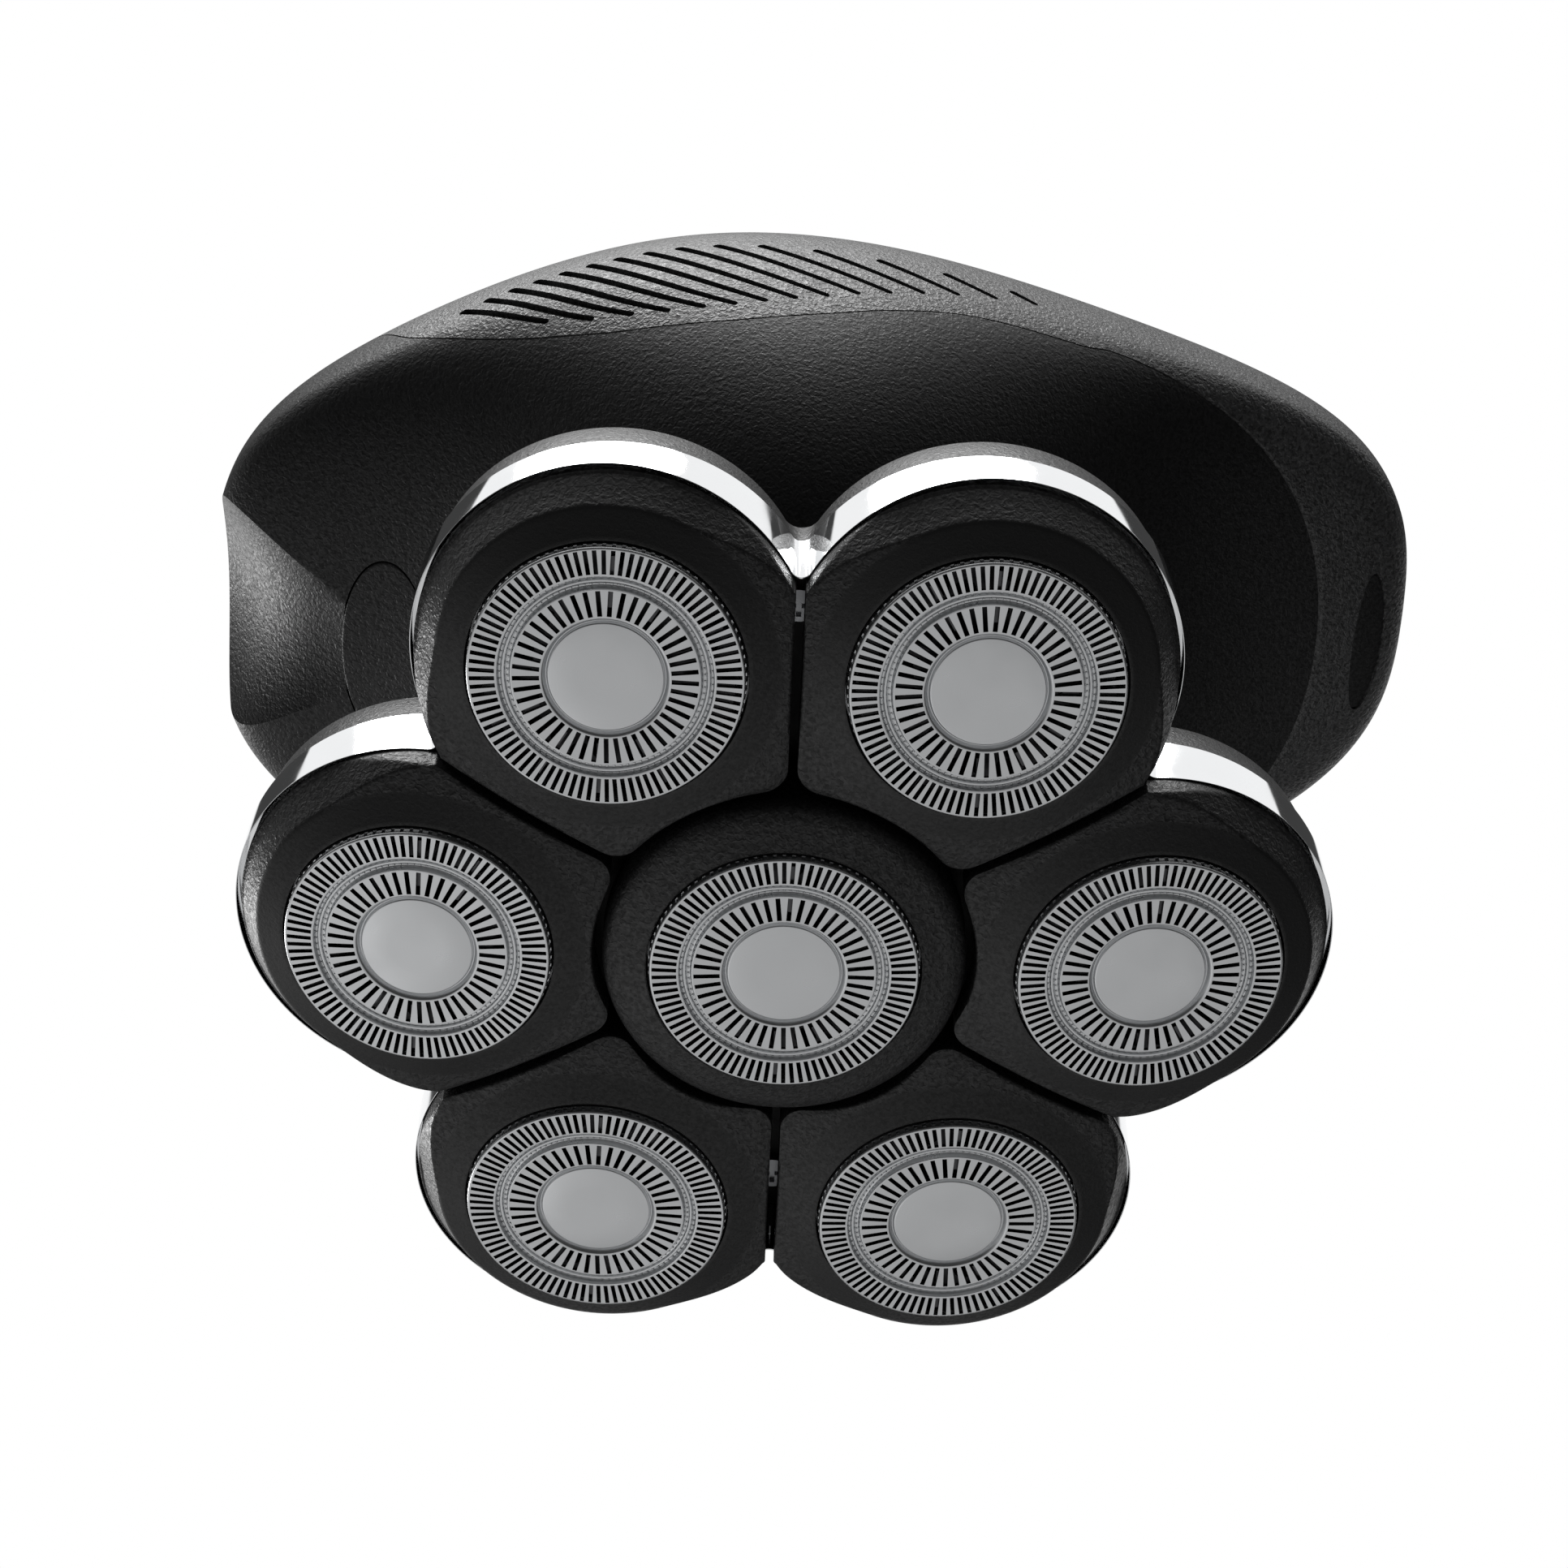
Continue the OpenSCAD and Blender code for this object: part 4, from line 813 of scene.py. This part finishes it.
def groove_solids():
    """All the grip grooves' cutters, which follow the flank, as one object."""
    b = Builder()
    w = GROOVE_HALF
    cap = np.linspace(-PI / 2, PI / 2, 9)
    for side in (-1, 1):
        for groove in GROOVES:
            long = np.linalg.norm(column(groove[2:]) - column(groove[:2]))
            run = np.linspace(w, long - w, 14)[1:-1]
            u = np.concatenate([long - w + w * np.cos(cap), run[::-1], w - w * np.cos(cap), run])
            v = np.concatenate([w * np.sin(cap), 0 * run + w, -w * np.sin(cap), 0 * run - w])
            v = v * (1.4 - 0.45 * u / long)
            line = groove_line(groove, u, side)
            normal = skin_normal(line)
            ahead = groove_line(groove, u + 0.05, side) - line
            ahead /= np.linalg.norm(ahead, axis=1)[:, None]
            across = np.cross(normal, ahead) * side
            p = line + across * v[:, None]
            # The outline runs round the lower end, up one side, round the upper end and down
            n1, n2, k = len(cap), len(run), len(p)
            faces = [(j, (j + 1) % k, (j + 1) % k + k, j + k) for j in range(k)]
            left = list(range(n1 - 1, n1 + n2 + 1))
            right = [0] + list(range(k - 1, 2 * n1 + n2 - 2, -1))
            floors = [(left[j], left[j + 1], right[j + 1], right[j]) for j in range(len(left) - 1)]
            floors += [tuple(range(n1)), tuple(range(n1 + n2, 2 * n1 + n2))]
            for loop in floors:
                faces.append(loop)
                faces.append(tuple(i + k for i in loop[::-1]))
            b.add(np.vstack([p - normal * GROOVE_DEPTH, p + normal * GROOVE_OUT]), faces)
    return put("groove_cut", b.mesh("groove_cut", 60, 0.0001), [SHELL])


BUTTON_AT, BUTTON_TURN, BUTTON_W, BUTTON_L = column([-33.3, 0, 45.4]), math.radians(17), 4.4, 8.9
PORT_AT, PORT_TURN, PORT_H, PORT_L = column([50, 1, 56.4]), math.radians(125), 1.4, 6.6


def tilted(at, turn):
    """Maps u, v, w columns, round the point at and turned about Y, to the shared frame."""
    c, s = math.cos(turn), math.sin(turn)
    return lambda u, v, w: np.stack([at[0] + u * c + w * s, at[1] + v + 0 * u,
                                     at[2] - u * s + w * c], 1)


def oval(w, l):
    a = turns(160)
    return np.stack([w * np.cos(a), l * np.sin(a)], 1)


def cap_piece(name, outline, at, turn, sign, look, sink, crown, depth, edge):
    """A key or plug whose face follows the skin, with a rounded edge and straight walls."""
    to_frame = tilted(at, turn)
    way = to_frame(column([0]), column([0]), column([sign]))[0] - at
    size = np.linalg.norm(outline, axis=1)
    loops = []
    for f in (0.02, 0.2, 0.4, 0.6, 0.75, 0.86, 0.93, 0.97, 0.99, 1.0):
        q = outline * f
        p = hit(to_frame(q[:, 0], q[:, 1], 0 * q[:, 0]) - way * 5, way)
        d = np.minimum((1 - f) * size, edge)
        drop = edge - np.sqrt(np.maximum(0, edge ** 2 - (edge - d) ** 2))
        loops.append(p + way * (crown * (1 - f * f) - sink - drop)[:, None])
    loops.append(loops[-1] - way * depth)
    b = Builder()
    b.loft(loops)
    return put(name, b.mesh(name, 50), [look])


def hollow():
    """The inside of the handle, which keeps clear of the thumb hollow."""
    return cut(handle_solid(60, 64, HANDLE_WALL, "hollow"), thumb_solid(THUMB_WALL))


def bore():
    """The round hole that the head's neck plugs into."""
    return solid("bore", [circle(SKIRT_BORE_R, z, turns(128)) for z in (10.0, 34.0)])


def skirt():
    """The round skirt of the main shell, with a rounded lower edge."""
    return solid("skirt", [circle(SKIRT_R - r, SKIRT_Z + z, turns(160))
                           for r, z in ((0.3, 0), (0.1, 0.08), (0, 0.3), (0, 14.0))])


def below_skirt():
    b = Builder()
    b.box((-100, -100, -80), (100, 100, SKIRT_Z))
    return put("below", b.mesh("below", 60), [SHELL])


def hole(at, turn, w, l, low, high):
    """An oval hole from low to high along a frame turned about Y."""
    return prism("hole", oval(w + HOLE_GAP, l + HOLE_GAP), low, high, tilted(at, turn))


def shells():
    """The main shell and the palm cover, cut from one skin."""
    body = handle_solid(260, 300, 0, "shell_lower")
    cut(body, skirt(), "UNION")
    cut(body, thumb_solid(THUMB_GROW))
    cover = put("shell_upper", body.data.copy(), [SHELL])
    for o in (body, cover):
        cut(o, hollow())
        cut(o, bore())
    cut(body, below_skirt())
    cut(body, above_seam(-SEAM_HALF))
    cut(body, hole(BUTTON_AT, BUTTON_TURN, BUTTON_W, BUTTON_L, -9, 9))
    cut(cover, above_seam(SEAM_HALF), "INTERSECT")
    cut(cover, groove_solids())
    cut(cover, hole(PORT_AT, PORT_TURN, PORT_H, PORT_L, -10, 8))
    return body, cover


lower, upper = shells()
lower.name, upper.name = "main_shell_body", "palm_cover_body"
for o, look in ((lower, SHELL), (upper, COVER_PAINTED_LIGHT)):
    o.data.materials.clear()
    o.data.materials.append(look)
    o.data.polygons.foreach_set("material_index", [0] * len(o.data.polygons))
    smooth(o.data, 28)
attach(lower, "handle")
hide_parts("main_shell")
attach(upper, "handle")
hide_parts("palm_cover")

key = cap_piece("power_button_cap", oval(BUTTON_W, BUTTON_L), BUTTON_AT, BUTTON_TURN, -1, BUTTON,
                sink=0.0, crown=0.1, depth=4.0, edge=0.12)
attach(key, "button")
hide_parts("power_button")
plug = cap_piece("charging_plug_cap", oval(PORT_H, PORT_L), PORT_AT, PORT_TURN, 1, PLUG,
                 sink=0.12, crown=0.05, depth=2.4, edge=0.15)
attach(plug, "plug")
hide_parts("charging_plug")

# ---- camera, light and floor, in metres ---------------------------------------------

CAMERA_AT, CAMERA_LENS = Vector((-0.00414, -0.15832, -0.23702)), 88.87
CAMERA_RIGHT = Vector((0.99917, -0.03968, 0.00896))
CAMERA_BACK = Vector((-0.0127, -0.5138, -0.8578))
GROUND_HALF, GROUND_Z, GROUND_GREY = 3, -0.0006, 0.86

scene = bpy.context.scene
scene.view_settings.view_transform = "Standard"
scene.view_settings.look = "None"
back = CAMERA_BACK.normalized()
up = back.cross(CAMERA_RIGHT.normalized()).normalized()
right = up.cross(back).normalized()
cam_data = bpy.data.cameras.new("camera")
cam_data.lens = CAMERA_LENS
cam_data.sensor_width = 36.0
cam_data.clip_start = 0.01
cam_data.clip_end = 20.0
cam = bpy.data.objects.new("camera", cam_data)
scene.collection.objects.link(cam)
turned = Matrix((right, up, back)).transposed().to_4x4()
cam.matrix_world = Matrix.Translation(CAMERA_AT) @ turned
scene.camera = cam


def area_light(name, at, target, size, power):
    data = bpy.data.lights.new(name, "AREA")
    data.shape, data.size, data.size_y = "RECTANGLE", size[0], size[1]
    data.energy = power
    o = bpy.data.objects.new(name, data)
    scene.collection.objects.link(o)
    o.location = at
    o.rotation_euler = (Vector(target) - Vector(at)).to_track_quat("-Z", "Y").to_euler()


area_light("top_softbox", at=(-0.1, -0.38, 0.65), target=(0, 0, 0.05), size=(0.6, 0.24), power=5.0)
area_light("left_strip", at=(-0.55, 0.37, 0.27), target=(0, 0, 0.02), size=(0.14, 0.3), power=2.0)

studio = bpy.data.worlds.new("studio")
scene.world = studio
studio.use_nodes = True
wt = studio.node_tree
wt.nodes.clear()
out = wt.nodes.new("ShaderNodeOutputWorld")
direction = node(wt, "ShaderNodeTexCoord").outputs["Generated"]


def glow(toward, start, end, strength=1.0):
    """Brightness that rises smoothly as the direction nears toward.

    start and end are cosines of the angle between the two."""
    dot = node(wt, "ShaderNodeVectorMath", {0: direction, 1: Vector(toward).normalized()},
               operation="DOT_PRODUCT")
    n = node(wt, "ShaderNodeMapRange", {"Value": dot.outputs["Value"], "From Min": start,
                                        "From Max": end, "To Min": 0.0, "To Max": strength},
             interpolation_type="SMOOTHSTEP")
    return n.outputs["Result"]


# A dark strip behind the shaver puts the dark ends on the chrome band's bright arcs
clear = maths(wt, "ADD", glow((0, -1, 0), 0.0, 0.03), glow((0, 1, 0), 0.4, 0.45))
total = maths(wt, "ADD", 0.05, maths(wt, "MULTIPLY", clear, glow((-0.1, -0.35, 0.93), 0.35, 0.8)))
for part in (glow((0.0, 0.51, -0.86), 0.55, 0.9, 0.5), glow((-0.75, 0.5, -0.4), 0.7, 1.0, 0.5)):
    total = maths(wt, "ADD", total, part)
shown = node(wt, "ShaderNodeBackground", {"Color": (1, 1, 1, 1), "Strength": 1.0})
soft = node(wt, "ShaderNodeBackground", {"Color": (1, 1, 1, 1), "Strength": total})
# Metal and plastic show the white background where it really is, behind the shaver
rays = node(wt, "ShaderNodeLightPath").outputs
behind = maths(wt, "MULTIPLY", clear, glow((-0.1, 0.1, 0.99), 0.2, 0.6))
mirror = maths(wt, "MAXIMUM", rays["Is Glossy Ray"], rays["Is Transmission Ray"])
seen = maths(wt, "MULTIPLY_ADD", mirror, behind, rays["Is Camera Ray"], use_clamp=True)
mixed = node(wt, "ShaderNodeMixShader", {0: seen, 1: soft.outputs[0], 2: shown.outputs[0]})
wt.links.new(mixed.outputs[0], out.inputs["Surface"])

# The floor is seen by the camera alone, and only from above
floor_mat = bpy.data.materials.new("floor")
floor_mat.use_nodes = True
ft = floor_mat.node_tree
ft.nodes.clear()
fout = ft.nodes.new("ShaderNodeOutputMaterial")
pale = node(ft, "ShaderNodeBsdfDiffuse", {"Color": (GROUND_GREY, GROUND_GREY, GROUND_GREY, 1)})
nothing = node(ft, "ShaderNodeBsdfTransparent")
camera_ray = node(ft, "ShaderNodeLightPath").outputs["Is Camera Ray"]
below = node(ft, "ShaderNodeNewGeometry").outputs["Backfacing"]
both = maths(ft, "MULTIPLY", camera_ray, maths(ft, "SUBTRACT", 1.0, below))
fm = node(ft, "ShaderNodeMixShader", {0: both, 1: nothing.outputs[0], 2: pale.outputs[0]})
ft.links.new(fm.outputs[0], fout.inputs["Surface"])
floor_mesh = bpy.data.meshes.new("floor")
floor_mesh.from_pydata([(x * GROUND_HALF, y * GROUND_HALF, GROUND_Z)
                        for x, y in ((-1, -1), (1, -1), (1, 1), (-1, 1))], [], [(0, 1, 2, 3)])
floor = bpy.data.objects.new("floor", floor_mesh)
scene.collection.objects.link(floor)
floor.data.materials.append(floor_mat)
